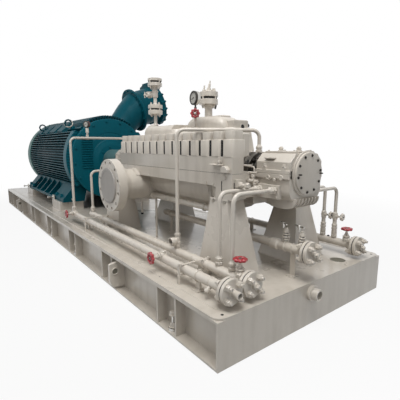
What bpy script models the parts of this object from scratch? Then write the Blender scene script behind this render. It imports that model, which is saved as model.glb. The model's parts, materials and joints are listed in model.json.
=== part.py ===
"""Horizontal multistage pump, its motor and its skid, as separate closed solids in metres, +Z up.

The origin lies under the middle of the skid.  X runs from the motor to the free end of the
pump, and the shaft turns about a line along X at Y = 0.  Heights named in this file are
counted from the top of the deck; solid() adds the height of the skid to them.  DE is the
pump's drive end, beside the coupling, and NDE its free end.
"""
import math

import bmesh
import bpy
from mathutils import Vector

# Fits between pieces
gap = 0.0003             # between pieces that touch
run = 0.006              # round turning pieces
stem_play = 0.0006       # round handwheel stems
bearing_play = 0.0004    # round the shaft where it runs in its bearings

# Lengths along the shaft, from the rear edge of the deck to its front edge
rear_deck = 0.727
motor_length = 2.500
coupling_length = 0.475
cover_thick = 0.025
housing_length = 0.280
bracket_length = 0.200   # casing to bearing housing
throat_length = 0.240    # narrow part of the casing at the drive end
case_length = 1.400      # straight part of the joint flange
front_deck = 0.102

# Skid
skid_height = 0.285
deck_plate = 0.012
frame_plate = 0.014
channel_depth = 0.075    # how far the webs lie behind the flange edges
deck_edge = 0.070        # deck outside the outermost pipe flange
post_pitch = 0.930
post_spread = 0.210      # between the two posts beside a levelling screw
lug_reach = 0.050
pad_height = 0.117       # pads under the motor

# Motor
motor_radius = 0.590
belly_clear = 0.087      # deck to the lowest part of the motor
fin_height = 0.075
fin_pitch = 0.036
fin_thick = 0.012
cowl_length = 0.300
shield_thick = 0.060
foot_length = 0.400
terminal_radius = 0.265
terminal_length = 0.330
terminal_lip = 0.060     # flanges outside the drum

# Coupling guard and rotor
guard_radius = 0.128
guard_wall = 0.006
motor_shaft_radius = 0.070
hub_radius = 0.105
pump_shaft_radius = 0.050

# Pump casing
case_width = 0.420       # half width over the joint flange
lower_flange = 0.087
upper_flange = 0.108
body_rise = 0.315        # top of the body over the shaft
barrel_depth = 0.245     # body under the joint flange
stud_radius = 0.052
stud_height = 0.164
far_stud_height = 0.018  # nothing stands above the joint's far side in the photo
ear_reach = 0.037        # near foot past the bearing housing's face
crossover_length = 0.490
bracket_drop = 0.167     # shaft down to the tops of the pedestals
pedestal_length = 0.357
dome_radius = 0.180

# Nozzles
suction_inset = 0.290    # from the drive end of the joint flange
discharge_inset = 0.320  # from its free end
nozzle_reach = 0.680
nozzle_flange = 0.078
suction_radius = 0.2375
discharge_radius = 0.200

# Bearing housings and seals
cover_radius = 0.135
housing_rise = 0.128
gland_radius = 0.125
gland_flange = 0.080

# Pipework
header_z = 0.090
header_radius = 0.030
blind_radius = 0.075
blind_thick = 0.022
header_clear = 0.045     # pedestals to the near header
far_clear = 0.150        # pedestals to the far header
drain_y = -0.080
drain_z = 0.190
riser_radius = 0.0135
return_spacing = 0.100
wheel_radius = 0.045
small_wheel = 0.032

# Places along the shaft
skid_length = (rear_deck + motor_length + coupling_length + throat_length + case_length + front_deck
               + 2 * (cover_thick + housing_length + bracket_length))
motor_rear = rear_deck - skid_length / 2
motor_front = motor_rear + motor_length
de_housing = motor_front + coupling_length + cover_thick + housing_length
throat_end = de_housing + bracket_length
case_de = throat_end + throat_length
case_nde = case_de + case_length
nde_housing = case_nde + bracket_length
nde_cover = nde_housing + housing_length
suction_x = case_de + suction_inset
discharge_x = case_nde - discharge_inset
dome_x = case_de - 0.015
crossover_end = case_nde - 0.200

# Heights
shaft_z = belly_clear + motor_radius
split_top = shaft_z + upper_flange
split_bottom = shaft_z - lower_flange
stud_top = split_top + stud_height
far_stud_top = split_top + far_stud_height
case_top = shaft_z + body_rise
crossover_top = case_top + 0.095
dome_top = case_top + 0.088
pedestal_top = shaft_z - bracket_drop
nozzle_z = shaft_z - 0.745 * max(suction_radius, discharge_radius)

# Widths
body_half = case_width - 2 * stud_radius - 0.016
trough_radius = gland_radius + 0.020
cover_rim = cover_radius + 0.015
housing_half = cover_rim + 0.015
housing_joint = housing_half + 0.012
housing_boss = housing_half + 0.020
housing_bottom = shaft_z - cover_rim - 0.030
housing_top = shaft_z + housing_rise
pedestal_near = (-case_width - 0.080, -case_width + 0.170)
pedestal_far = (case_width - 0.300, case_width + 0.050)
near_header_y = pedestal_near[0] - header_clear
outer_header_y = near_header_y - 2 * blind_radius - 0.010
far_header_y = pedestal_far[1] + far_clear
skid_width = 2 * (blind_radius + deck_edge - outer_header_y)

# Pipes
flush_de_x = de_housing - 0.230
flush_de_z = housing_top + 0.135
flush_nde_x = case_nde - 0.200
flush_nde_z = stud_top + riser_radius + 0.003
cooling_de_x = de_housing - 0.286 * housing_length
cooling_in_x = nde_housing + 0.214 * housing_length
cooling_out_x = nde_housing + 0.643 * housing_length
cooling_z = pedestal_top + 0.065
return_x = (nde_housing + 0.040, nde_housing + 0.040 + return_spacing)
return_z = cooling_z - 0.050
header_valve_x = cooling_out_x + riser_radius + wheel_radius + 0.0075
header_end = header_valve_x + blind_radius + 0.009
de_port = throat_end - gland_flange * 0.8
nde_port = case_nde + gland_flange * 0.85

white = ("painted_white", (0.66, 0.62, 0.57, 1.0), 0.45, 0.0)
teal = ("painted_teal", (0.015, 0.105, 0.135, 1.0), 0.40, 0.0)
cowl_green = ("painted_cowl", (0.05, 0.15, 0.14, 1.0), 0.5, 0.0)
steel = ("machined_steel", (0.35, 0.35, 0.34, 1.0), 0.30, 1.0)
red = ("painted_red", (0.45, 0.02, 0.03, 1.0), 0.35, 0.0)
grey = ("cover_grey", (0.42, 0.41, 0.39, 1.0), 0.55, 0.0)


def shell(verts, faces):
    """One closed surface with its faces turned outwards."""
    bm = bmesh.new()
    made = [bm.verts.new(v) for v in verts]
    for face in faces:
        bm.faces.new([made[i] for i in face])
    bmesh.ops.recalc_face_normals(bm, faces=bm.faces)
    mesh = bpy.data.meshes.new("shell")
    bm.to_mesh(mesh)
    bm.free()
    return mesh


def stacked(rings, closed=False):
    """Closed surface through rings of the same number of points; one point makes a tip."""
    verts, starts = [], []
    for ring in rings:
        starts.append((len(verts), len(ring)))
        verts.extend(ring)
    faces = []
    pairs = list(zip(starts, starts[1:]))
    if closed:
        pairs.append((starts[-1], starts[0]))
    for (a, na), (b, nb) in pairs:
        count = max(na, nb)
        for i in range(count):
            j = (i + 1) % count
            if na == 1:
                faces.append((a, b + i, b + j))
            elif nb == 1:
                faces.append((a + i, a + j, b))
            else:
                faces.append((a + i, a + j, b + j, b + i))
    if not closed:
        for start, count in (starts[0], starts[-1]):
            if count > 2:
                faces.append(tuple(range(start, start + count)))
    return shell(verts, faces)


def box(x0, x1, y0, y1, z0, z1):
    low = [(x0, y0, z0), (x1, y0, z0), (x1, y1, z0), (x0, y1, z0)]
    return stacked([low, [(x, y, z1) for x, y, z in low]])


def taper(low, z0, high, z1):
    """Block between two rectangles, each given as x0, x1, y0, y1."""
    rings = []
    for (x0, x1, y0, y1), z in ((low, z0), (high, z1)):
        rings.append([(x0, y0, z), (x1, y0, z), (x1, y1, z), (x0, y1, z)])
    return stacked(rings)


def prism_x(outline, x0, x1):
    return stacked([[(x, y, z) for y, z in outline] for x in (x0, x1)])


def prism_y(outline, y0, y1):
    return stacked([[(x, y, z) for x, z in outline] for y in (y0, y1)])


def prism_z(outline, z0, z1):
    return stacked([[(x, y, z) for x, y in outline] for z in (z0, z1)])


def frame_of(direction):
    d = Vector(direction).normalized()
    up = Vector((0, 0, 1)) if abs(d.z) < 0.9 else Vector((0, 1, 0))
    u = up.cross(d).normalized()
    return d, u, d.cross(u)


def lathe(start, direction, profile, sides=24):
    """Round piece; profile lists distance along the axis and radius."""
    d, u, v = frame_of(direction)
    start = Vector(start)
    rings = []
    for along, radius in profile:
        centre = start + d * along
        if radius == 0:
            rings.append([tuple(centre)])
            continue
        turns = [math.tau * (i + 0.5) / sides for i in range(sides)]
        rings.append([tuple(centre + (u * math.cos(t) + v * math.sin(t)) * radius) for t in turns])
    return stacked(rings)


def rod(a, b, radius, sides=24):
    a, b = Vector(a), Vector(b)
    return lathe(a, b - a, [(0, radius), ((b - a).length, radius)], sides)


def ring(centre, direction, radius, thickness, sides=24, around=8):
    """Torus about a line through its centre."""
    d, u, v = frame_of(direction)
    centre = Vector(centre)
    rings = []
    for i in range(sides):
        t = math.tau * i / sides
        out = u * math.cos(t) + v * math.sin(t)
        turns = [math.tau * k / around for k in range(around)]
        rings.append([tuple(centre + out * (radius + thickness * math.cos(a))
                            + d * (thickness * math.sin(a))) for a in turns])
    return stacked(rings, closed=True)


def pipe(points, radius, bend=0.05, sides=8, steps=3):
    """Round pipe along a line of points with its corners rounded."""
    points = [Vector(p) for p in points]
    path = [points[0]]
    for before, corner, after in zip(points, points[1:], points[2:]):
        into, out = (corner - before).normalized(), (after - corner).normalized()
        turn = into.angle(out)
        cut = bend * math.tan(turn / 2)
        first, last = corner - into * cut, corner + out * cut
        middle = corner + (out - into).normalized() * (bend / math.cos(turn / 2))
        for k in range(steps + 1):
            share = k / steps
            a, b = (first - middle).normalized(), (last - middle).normalized()
            path.append(middle + a.slerp(b, share) * bend)
    path.append(points[-1])
    rings, side = [], None
    for i, point in enumerate(path):
        ahead = (path[min(i + 1, len(path) - 1)] - path[max(i - 1, 0)]).normalized()
        if side is None:
            side = frame_of(ahead)[1]
        side = (side - ahead * side.dot(ahead)).normalized()
        other = ahead.cross(side)
        turns = [math.tau * k / sides for k in range(sides)]
        rings.append([tuple(point + (side * math.cos(t) + other * math.sin(t)) * radius)
                      for t in turns])
    return stacked(rings)


def joined(meshes):
    bm = bmesh.new()
    for mesh in meshes:
        bm.from_mesh(mesh)
    out = bpy.data.meshes.new("joined")
    bm.to_mesh(out)
    bm.free()
    return out


def combine(obj, meshes, operation):
    """Adds or cuts the given shells with an exact Boolean and keeps the result as the mesh."""
    tool = bpy.data.objects.new("tool", joined(meshes))
    bpy.context.scene.collection.objects.link(tool)
    tool.hide_render = True
    tool.display_type = 'WIRE'
    modifier = obj.modifiers.new("combine", 'BOOLEAN')
    modifier.operation = operation
    modifier.solver = 'EXACT'
    modifier.use_self = True
    modifier.object = tool
    bpy.context.view_layer.update()
    graph = bpy.context.evaluated_depsgraph_get()
    result = bpy.data.meshes.new_from_object(obj.evaluated_get(graph))
    obj.modifiers.clear()
    obj.data = result
    bpy.data.objects.remove(tool)


def paint(spec):
    name, colour, roughness, metallic = spec
    found = bpy.data.materials.get(name)
    if found:
        return found
    made = bpy.data.materials.new(name)
    made.use_nodes = True
    shader = made.node_tree.nodes["Principled BSDF"]
    shader.inputs["Base Color"].default_value = colour
    shader.inputs["Roughness"].default_value = roughness
    shader.inputs["Metallic"].default_value = metallic
    made.diffuse_color = colour
    return made


def solid(name, spec, add, cut=(), at=(0, 0, 0), smooth=True):
    """Makes one node; its origin is put at the given point on the joint axis."""
    obj = bpy.data.objects.new(name, add[0])
    bpy.context.scene.collection.objects.link(obj)
    if len(add) > 1:
        combine(obj, add[1:], 'UNION')
    if cut:
        combine(obj, cut, 'DIFFERENCE')
    mesh = obj.data
    mesh.name = name
    bm = bmesh.new()
    bm.from_mesh(mesh)
    bmesh.ops.remove_doubles(bm, verts=bm.verts, dist=0.00001)
    bmesh.ops.dissolve_limit(bm, angle_limit=0.0005, verts=bm.verts, edges=bm.edges)
    bmesh.ops.triangulate(bm, faces=[f for f in bm.faces if len(f.verts) > 4])
    shift = Vector((-at[0], -at[1], -at[2]))
    bmesh.ops.translate(bm, vec=shift, verts=bm.verts)
    bm.to_mesh(mesh)
    bm.free()
    mesh.materials.clear()
    mesh.materials.append(paint(spec))
    if smooth:
        mesh.shade_smooth()
        mesh.set_sharp_from_angle(angle=math.radians(35))
    obj.location = (at[0], at[1], at[2] + skid_height)
    return obj


def shaft_bore(x0, x1, radius=pump_shaft_radius, play=run):
    """Cutter for a hole round the shaft, wide enough for the shaft's corners at any angle."""
    return rod((x0, 0, shaft_z), (x1, 0, shaft_z), (radius + play) / math.cos(math.pi / 24), 24)


def section(x, half, low, high, corner, lean=0.0, steps=4):
    """Ring across the shaft, straight at its low end and round at the shoulders of its high end."""
    turn = 1 if high > low else -1
    points = [(-half, low)]
    for side, first in ((-1, 180), (1, 90)):
        for k in range(steps + 1):
            t = math.radians(first - 90 * k / steps)
            points.append((side * (half - corner) + corner * math.cos(t),
                           high - turn * corner * (1 - math.sin(t))))
    points.append((half, low))
    return [(x - lean * (z - low), y, z) for y, z in points]


def hull(x, half, top, depth, steps=10):
    """Ring across the shaft for a body with a full round bottom."""
    points = []
    for k in range(steps + 1):
        t = math.pi * k / steps
        points.append((x, -half * math.copysign(abs(math.cos(t)) ** 0.8, math.cos(t)),
                       top - depth * math.sin(t) ** 0.8))
    return points


def mirrored(side, outline):
    return [(x, side * y) for x, y in outline]


def skid():
    top = -deck_plate - gap
    half_x, half_y = skid_length / 2, skid_width / 2
    inner = half_y - channel_depth - 0.002
    lug_x = nde_housing - 0.840
    posts = []
    middle = nde_housing - 0.090
    while middle > -half_x + post_spread:
        posts += [middle - post_spread / 2, middle + post_spread / 2]
        middle -= post_pitch
    add = []
    for side in (-1, 1):
        outer, web = side * half_y, side * (half_y - channel_depth)
        behind = web - side * frame_plate
        add.append(box(-half_x, half_x, *sorted((web, behind)), -skid_height, top))
        for z0 in (-skid_height, top - frame_plate):
            add.append(box(-half_x, half_x, *sorted((outer, web - side * 0.002)), z0, z0 + frame_plate))
        for x in posts:
            if abs(abs(x) - lug_x) > 0.035:
                add.append(box(x - 0.006, x + 0.006, *sorted((outer - side * 0.004, web - side * 0.002)),
                               -skid_height + 0.002, top - 0.002))
        edge = half_y + lug_reach
        lug = [(half_y - channel_depth - 0.004, top - 0.020), (edge, top - 0.050), (edge, -0.185)]
        for k in range(1, 5):
            t = math.pi / 2 * k / 4
            lug.append((edge - 0.070 + 0.070 * math.cos(t), -0.185 - 0.070 * math.sin(t)))
        lug.append((half_y - channel_depth - 0.004, -0.255))
        for x in (-lug_x, lug_x):
            add.append(prism_x([(side * y, z) for y, z in lug], x - 0.015, x + 0.015))
    for x in (-half_x, half_x - frame_plate):
        add.append(box(x, x + frame_plate, -half_y, half_y, -skid_height, top))
    for share in (-0.72, -0.36, 0.0, 0.36, 0.72):
        x = share * half_x
        add.append(box(x - 0.060, x + 0.060, -inner, inner, -skid_height, top))
    solid("skid_frame", white, add, smooth=False)

    corner = 0.060
    outline = [(-half_x, half_y), (-half_x, -half_y)]
    for cx, cy, first in ((half_x - corner, -half_y + corner, -90), (half_x - corner, half_y - corner, 0)):
        for k in range(5):
            t = math.radians(first + 90 * k / 4)
            outline.append((cx + corner * math.cos(t), cy + corner * math.sin(t)))
    pads = [box(x, x + foot_length, *sorted((side * (motor_radius - 0.230), side * (motor_radius + 0.075))),
                -0.002, pad_height - gap) for x in motor_pads() for side in (-1, 1)]
    hole = lathe((half_x - 0.122, 0.444, -0.05), (0, 0, 1), [(0, 0.036), (0.1, 0.036)], 20)
    solid("deck_plate", white, [prism_z(outline, -deck_plate, 0)] + pads, cut=[hole], smooth=False)
    stub = (half_x + gap, -0.065, -0.070)
    solid("drain_stub", white,
          [lathe(stub, (1, 0, 0), [(0, 0.052), (0.022, 0.052), (0.022, 0.038), (0.062, 0.038)], 24)],
          cut=[rod((stub[0] + 0.028, *stub[1:]), (stub[0] + 0.1, *stub[1:]), 0.026, 20)])


def motor_pads():
    """Where the pads under the motor's feet begin."""
    return motor_rear + cowl_length - 0.050, motor_front - 0.180 - foot_length


def fin_outline(root, tip, rail):
    """Motor body from the end: level fins on its sides, upright ones on top and a rail between."""
    half = fin_thick / 2
    lowest, highest = -int(0.49 * motor_radius / fin_pitch), int(0.62 * motor_radius / fin_pitch)
    widest = int(0.56 * motor_radius / fin_pitch)
    right = []
    for k in range(7):
        t = math.radians(-90 + 52 * k / 6)
        right.append((root * math.cos(t), root * math.sin(t)))
    for k in range(lowest, highest + 1):
        for edge, radius in ((-half, root), (-half, tip), (half, tip), (half, root)):
            z = k * fin_pitch + edge
            right.append((math.sqrt(radius ** 2 - z ** 2), z))
    first = math.asin((highest * fin_pitch + half) / root)
    last = math.acos((widest * fin_pitch + half) / root)
    for share, radius in ((0.15, root), (0.15, rail), (0.85, rail), (0.85, root)):
        t = first + (last - first) * share
        right.append((radius * math.cos(t), radius * math.sin(t)))
    over = []
    for k in range(widest, -widest - 1, -1):
        for edge, radius in ((half, root), (half, tip), (-half, tip), (-half, root)):
            y = k * fin_pitch + edge
            over.append((y, math.sqrt(radius ** 2 - y ** 2)))
    left = [(-y, z) for y, z in reversed(right[1:])]
    return [(y, shaft_z + z) for y, z in right + over + left]


def motor():
    body_rear = motor_rear + cowl_length
    body_front = motor_front - shield_thick
    root, tip = motor_radius - fin_height, motor_radius - 0.006
    add = [prism_x(fin_outline(root, tip, motor_radius - 0.030), body_rear, body_front)]
    cut = [shaft_bore(motor_front - 0.206, body_front + 0.1, motor_shaft_radius)]

    # The feet are one ribbed skirt on each side, solid over the pads.
    outer, inner = motor_radius + 0.050, motor_radius - 0.110
    skirt = [(motor_radius - 0.230, pad_height), (outer, pad_height), (outer, pad_height + 0.040),
             (inner - 0.010, shaft_z - 0.55 * motor_radius),
             (0.62 * motor_radius, shaft_z - 0.55 * motor_radius),
             (0.54 * motor_radius, shaft_z - 0.63 * motor_radius)]
    skirt_rear, skirt_front = body_rear + gap, body_front - 0.060
    pockets, rib = 5, 0.035
    first, last = skirt_rear + 0.260, skirt_front - 0.460
    step = (last - first + rib) / pockets
    for side in (-1, 1):
        add.append(prism_x([(side * y, z) for y, z in skirt], skirt_rear, skirt_front))
        for k in range(pockets):
            x = first + k * step
            cut.append(box(x, x + step - rib, *sorted((side * inner, side * (outer + 0.05))),
                           pad_height + 0.035, shaft_z - 0.5 * motor_radius))

    # Lifting eyes stand on the rails; the far front one keeps clear of the terminal neck.
    for side, x in ((-1, body_front - 0.340), (-1, body_rear + 0.350), (1, body_front - 0.960),
                    (1, body_rear + 0.350)):
        t = math.radians(48)
        out = Vector((0, side * math.cos(t), math.sin(t)))
        foot = Vector((x, 0, shaft_z)) + out * (root - 0.020)
        height = tip + 0.016 - root + 0.020
        add.append(rod(foot, foot + out * height, 0.030, 8))
        add.append(ring(foot + out * (height + 0.040), (1, 0, 0), 0.048, 0.012, 12, 5))
    solid("motor_frame", teal, add, cut=cut, smooth=False)

    face = motor_front
    louvres = []
    for side in (-1, 1):
        for k in range(10):
            z = shaft_z - 0.130 + k * 0.036
            louvres.append(box(face - 0.018, face + 0.01, *sorted((side * 0.385 * motor_radius,
                               side * 0.71 * motor_radius)), z, z + 0.014))
    solid("motor_drive_shield", teal,
          [lathe((body_front + gap, 0, shaft_z), (1, 0, 0),
                 [(0, motor_radius - 0.030), (shield_thick * 0.6, motor_radius - 0.030),
                  (shield_thick - gap, motor_radius - 0.050), (shield_thick - gap, 0.240),
                  (shield_thick + 0.030, 0.190)], 48)],
          cut=louvres + [shaft_bore(body_front - 0.1, motor_front + 0.2, motor_shaft_radius)])
    solid("motor_fan_cowl", cowl_green,
          [lathe((motor_rear, 0, shaft_z), (1, 0, 0),
                 [(0, motor_radius - 0.120), (0.020, motor_radius - 0.060), (0.070, motor_radius - 0.010),
                  (0.120, motor_radius), (cowl_length - gap, motor_radius)], 48)])
    terminal(tip)


def terminal(tip):
    """Round terminal box that leans away from the near side, on a neck that bends up to it."""
    lean = math.radians(20)
    axis = Vector((0, math.cos(lean), math.sin(lean)))
    x = motor_front - 0.500
    dish = Vector((x, motor_radius + 0.009, shaft_z + motor_radius + 0.125))
    foot = Vector((x, 0.454 * motor_radius, shaft_z + 0.503 * motor_radius))
    rings = []
    for share, degrees, radius in ((0, 48, terminal_radius - 0.055), (0.45, 37, terminal_radius - 0.060),
                                   (0.75, 28, terminal_radius - 0.035), (1, 20, terminal_radius - 0.010)):
        t = math.radians(degrees)
        along = Vector((0, math.cos(t), math.sin(t)))
        up = Vector((0, -along.z, along.y))
        centre = foot.lerp(dish - axis * gap, share) + up * 0.020 * math.sin(math.pi * share)
        rings.append([tuple(centre + (Vector((1, 0, 0)) * math.cos(a) + up * math.sin(a)) * radius)
                      for a in (math.tau * k / 24 for k in range(24))])
    saddle = rod((x - 1, 0, shaft_z), (x + 1, 0, shaft_z), tip / math.cos(math.pi / 72) + gap, 72)
    solid("terminal_neck", teal, [stacked(rings)], cut=[saddle])
    lip, length = terminal_radius + terminal_lip, terminal_length
    solid("terminal_box", teal,
          [lathe(dish, axis, [(0, lip), (0.030, lip), (0.060, terminal_radius), (length, terminal_radius),
                              (length, lip), (length + 0.035, lip)], 32)])
    solid("terminal_cover", teal,
          [lathe(dish + axis * (length + 0.035 + gap), axis,
                 [(0, lip), (0.040, lip), (0.070, terminal_radius - 0.035)], 32)])


def rotor():
    guard_end = motor_front + coupling_length
    hub = 0.126 * coupling_length
    motor_hub, pump_hub = motor_front + 3 * hub, motor_front + 6.3 * hub
    profile = [(motor_front - 0.200, motor_shaft_radius), (motor_hub, motor_shaft_radius),
               (motor_hub, hub_radius), (motor_hub + hub, hub_radius), (motor_hub + hub, 0.060),
               (pump_hub - hub, 0.060), (pump_hub - hub, hub_radius), (pump_hub, hub_radius),
               (pump_hub, pump_shaft_radius), (nde_cover - 0.020, pump_shaft_radius)]
    solid("rotor", steel, [lathe((0, 0, shaft_z), (1, 0, 0), profile, 24)], at=(guard_end, 0, shaft_z))
    start = motor_front + 0.030 + gap
    solid("coupling_guard", teal,
          [rod((start + gap, 0, shaft_z), (guard_end - gap, 0, shaft_z), guard_radius, 32)],
          cut=[rod((start - 0.1, 0, shaft_z), (guard_end + 0.1, 0, shaft_z), guard_radius - guard_wall, 32)])


def plan():
    """Outline of the casing joint seen from above, ears over the free end's feet included."""
    ear = case_nde + bracket_length
    near = [(case_de, -case_width), (ear + ear_reach, -case_width), (ear + ear_reach, -case_width + 0.095),
            (case_nde + 0.060, -trough_radius - 0.055), (case_nde, -trough_radius - 0.005)]
    far = [(case_de, case_width), (ear - 0.063, case_width), (ear, case_width - 0.085),
           (ear, housing_half + 0.085), (case_nde + 0.060, trough_radius + 0.055),
           (case_nde, trough_radius + 0.005)]
    motor_end = [(throat_end + 0.040, case_width - 0.120), (throat_end, trough_radius + 0.005),
                 (throat_end, -trough_radius - 0.005), (throat_end + 0.040, -case_width + 0.120)]
    return near + far[::-1] + motor_end


def stud_points(side):
    """Plan positions of the stud columns along one side of the casing joint."""
    y = side * (case_width - stud_radius - 0.006)
    first = case_de + stud_radius + 0.006
    last = case_nde + bracket_length - stud_radius - (0.063 if side > 0 else -ear_reach)
    count = int((last - first) / (2 * stud_radius + 0.0095)) + 1
    return [(first + (last - first) * k / (count - 1), y) for k in range(count)]


def bracket(end, way, flared):
    """Cheeks and floor of the trough between the casing and a bearing housing, with feet."""
    reach = bracket_length - gap
    add = []
    for side in (-1, 1):
        arm = [(-0.030, 0.080), (reach, 0.080), (reach, housing_joint + 0.012)]
        if flared and side < 0:
            ear = bracket_length + ear_reach
            arm += [(reach, case_width - 0.160), (ear, case_width - 0.120), (ear, case_width + 0.004),
                    (ear - 0.157, case_width + 0.004), (-0.030, case_width - 0.060)]
        elif flared:
            wrap = return_x[0] - 0.030 - case_nde
            arm += [(wrap, housing_joint + 0.012), (wrap, case_width - 0.140),
                    (bracket_length - 0.037, case_width - 0.060),
                    (bracket_length - 0.093, case_width + 0.004), (0.010, case_width + 0.004),
                    (-0.030, case_width - 0.060)]
        else:
            arm += [(-0.030, housing_joint + 0.012)]
            foot = [(-0.140, case_width - 0.180), (0.030, case_width - 0.180),
                    (0.030, case_width - 0.050), (-0.030, case_width + 0.004), (-0.140, case_width + 0.004)]
            add.append(prism_z([(end + way * u, side * v) for u, v in foot], pedestal_top, shaft_z - gap / 2))
        add.append(prism_z([(end + way * u, side * v) for u, v in arm], pedestal_top, shaft_z - gap / 2))
    floor = sorted((end - way * 0.030, end + way * reach))
    add.append(box(*floor, -housing_joint - 0.008, housing_joint + 0.008, pedestal_top - 0.050, shaft_z - 0.060))
    start = end + way * 0.0002
    trough = rod((start, 0, shaft_z), (end + way * (bracket_length + 0.02), 0, shaft_z), trough_radius, 24)
    return add, trough


def casing():
    low = split_bottom + 0.010
    width = case_width - 0.085
    add = [prism_z(plan(), split_bottom, shaft_z - gap / 2),
           stacked([hull(case_de + 0.010, 0.72 * width, low, 0.60 * barrel_depth),
                    hull(case_de + 0.090, width, low, barrel_depth),
                    hull(case_nde - 0.120, width, low, barrel_depth),
                    hull(case_nde - 0.020, 0.74 * width, low, 0.68 * barrel_depth)]),
           stacked([hull(throat_end, trough_radius + 0.005, low, 0.130),
                    hull(case_de + 0.050, 0.70 * width, low, 0.170)]),
           stacked([hull(case_nde - 0.060, 0.70 * width, low, 0.150),
                    hull(case_nde, trough_radius + 0.005, low, 0.125)])]
    inside = 0.200
    for side, x, radius in ((-1, suction_x, suction_radius), (1, discharge_x, discharge_radius)):
        end = nozzle_reach - gap - inside
        back = end - nozzle_flange
        add.append(lathe((x, side * inside, nozzle_z), (0, side, 0),
                         [(0, radius * 0.71), (0.090, radius * 0.67), (back * 0.6, radius * 0.62),
                          (back - 0.060, radius * 0.66), (back, radius * 0.82), (back, radius),
                          (end, radius)], 28))

    # The balance line runs beside the body, from the suction neck to the free end.
    y, z = -case_width + 0.120, nozzle_z - 0.110
    far = case_nde - 0.110
    add.append(pipe([(suction_x + 0.050, y, z), (far, y, z), (far, y, z + 0.140)], 0.020, 0.050))
    add.append(rod((suction_x + 0.190, y, gap), (suction_x + 0.190, y, z), 0.011, 8))

    cut = [shaft_bore(throat_end - 0.3, case_nde + 0.3)]
    for end, way, flared in ((case_nde, 1, True), (throat_end, -1, False)):
        arms, trough = bracket(end, way, flared)
        add += arms
        cut.append(trough)
    solid("lower_casing", white, add, cut=cut)
    upper_casing()
    for side, x, radius, name in ((-1, suction_x, suction_radius, "suction_cover"),
                                  (1, discharge_x, discharge_radius, "discharge_cover")):
        solid(name, grey, [lathe((x, side * nozzle_reach, nozzle_z), (0, side, 0),
                                 [(0, radius * 0.68), (0.012, radius * 0.68)], 28)])


def upper_casing():
    low, top = split_top - 0.010, case_top
    length = case_nde - case_de
    block = body_half - 0.012
    body = [section(throat_end + 0.010, 0.150, low, top - 0.110, 0.090),
            section(case_de - 0.080, 0.225, low, top - 0.045, 0.120),
            section(case_de + 0.080, body_half, low, top - 0.020, 0.130),
            section(case_de + 0.200 * length - 0.008, body_half, low, top, 0.120),
            section(case_de + 0.200 * length, block, low, top + 0.040, 0.050),
            section(case_de + 0.525 * length, block, low, top + 0.040, 0.050),
            section(case_de + 0.560 * length, block, low, top, 0.120),
            section(case_nde - 0.260, body_half - 0.020, low, top, 0.130),
            section(case_nde - 0.180, 0.180, low, top + 0.005, 0.110),
            section(case_nde - 0.140, 0.125, low, top + 0.030, 0.080),
            section(case_nde - 0.050, 0.085, low, top + 0.035, 0.062, lean=0.25)]
    start, end = crossover_end - crossover_length, crossover_end
    inside = top - 0.030
    crossover = [section(start, 0.070, inside, top + 0.030, 0.030),
                 section(start + 0.060, 0.125, inside, top + 0.070, 0.045),
                 section(start + 0.140, 0.150, inside, crossover_top, 0.050),
                 section(end - 0.160, 0.150, inside, crossover_top, 0.050),
                 section(end - 0.060, 0.135, inside, top + 0.070, 0.045),
                 section(end, 0.090, inside, top + 0.010, 0.030)]
    shoulder = [section(case_nde - 0.230, 0.070, inside, top + 0.050, 0.025),
                section(case_nde - 0.220, 0.080, inside, top + 0.058, 0.025),
                section(case_nde - 0.130, 0.080, inside, top + 0.058, 0.025),
                section(case_nde - 0.115, 0.070, inside, top + 0.046, 0.025)]
    add = [prism_z(plan(), shaft_z + gap / 2, split_top), stacked(body), stacked(crossover),
           stacked(shoulder)]
    for side in (-1, 1):
        for x, y in stud_points(side):
            add.append(rod((x, y, low), (x, y, far_stud_top if side > 0 else stud_top), stud_radius, 10))
    skirt = 0.050
    rise = dome_top - case_top + 0.045
    dome = [(0, dome_radius), (skirt, dome_radius)]
    dome += [(skirt + rise * math.sin(math.radians(t)), dome_radius * math.cos(math.radians(t)))
             for t in (20, 40, 58, 74)]
    dome.append((skirt + rise, 0.030))
    add.append(lathe((dome_x, 0, dome_top - rise - skirt), (0, 0, 1), dome, 20))
    x, y = gauge_place()
    add.append(lathe((x, y, top - 0.090), (0, 0, 1), [(0, 0.024), (0.102, 0.024)], 12))
    add.append(lathe((vent_x(), 0, crossover_top - 0.020), (0, 0, 1), [(0, 0.048), (0.027, 0.048)], 16))
    recess = rod((case_nde, 0, shaft_z), (case_nde + 0.2, 0, shaft_z), gland_radius + 0.005, 24)
    solid("upper_casing", white, add, cut=[shaft_bore(throat_end - 0.3, case_nde + 0.3), recess])


def gauge_place():
    return (case_de + case_nde) / 2 + 0.260, -body_half * 2 / 3


def vent_x():
    return crossover_end - crossover_length * 0.653


def pedestals():
    top_z = pedestal_top - gap
    for word, x in (("nde", case_nde - 0.020), ("de", throat_end - 0.050)):
        top_x = (x + 0.045, x + 0.215)
        for side, low, high in (("near", pedestal_near, (-case_width, -case_width + 0.140)),
                                ("far", pedestal_far, (case_width - 0.120, case_width))):
            solid(f"pedestal_{word}_{side}", white,
                  [taper((x, x + pedestal_length, *low), gap, (*top_x, *high), top_z)], smooth=False)


def housing_bosses(word, x, way):
    """Bosses on the housing's sides where the cooling pipes end, as x0, x1, y0, y1, z0, z1."""
    if word == "de":
        return [(cooling_de_x - 0.030, cooling_de_x + 0.030, -housing_boss, -housing_half + 0.02,
                 cooling_z - 0.040, cooling_z + 0.030)]
    return [(cooling_in_x - 0.030, cooling_out_x + 0.030, -housing_boss, -housing_half + 0.02,
             cooling_z - 0.060, cooling_z + 0.030),
            (return_x[0] - 0.030, return_x[1] + 0.030, housing_half - 0.030, housing_boss,
             return_z - 0.030, return_z + 0.030)]


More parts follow.
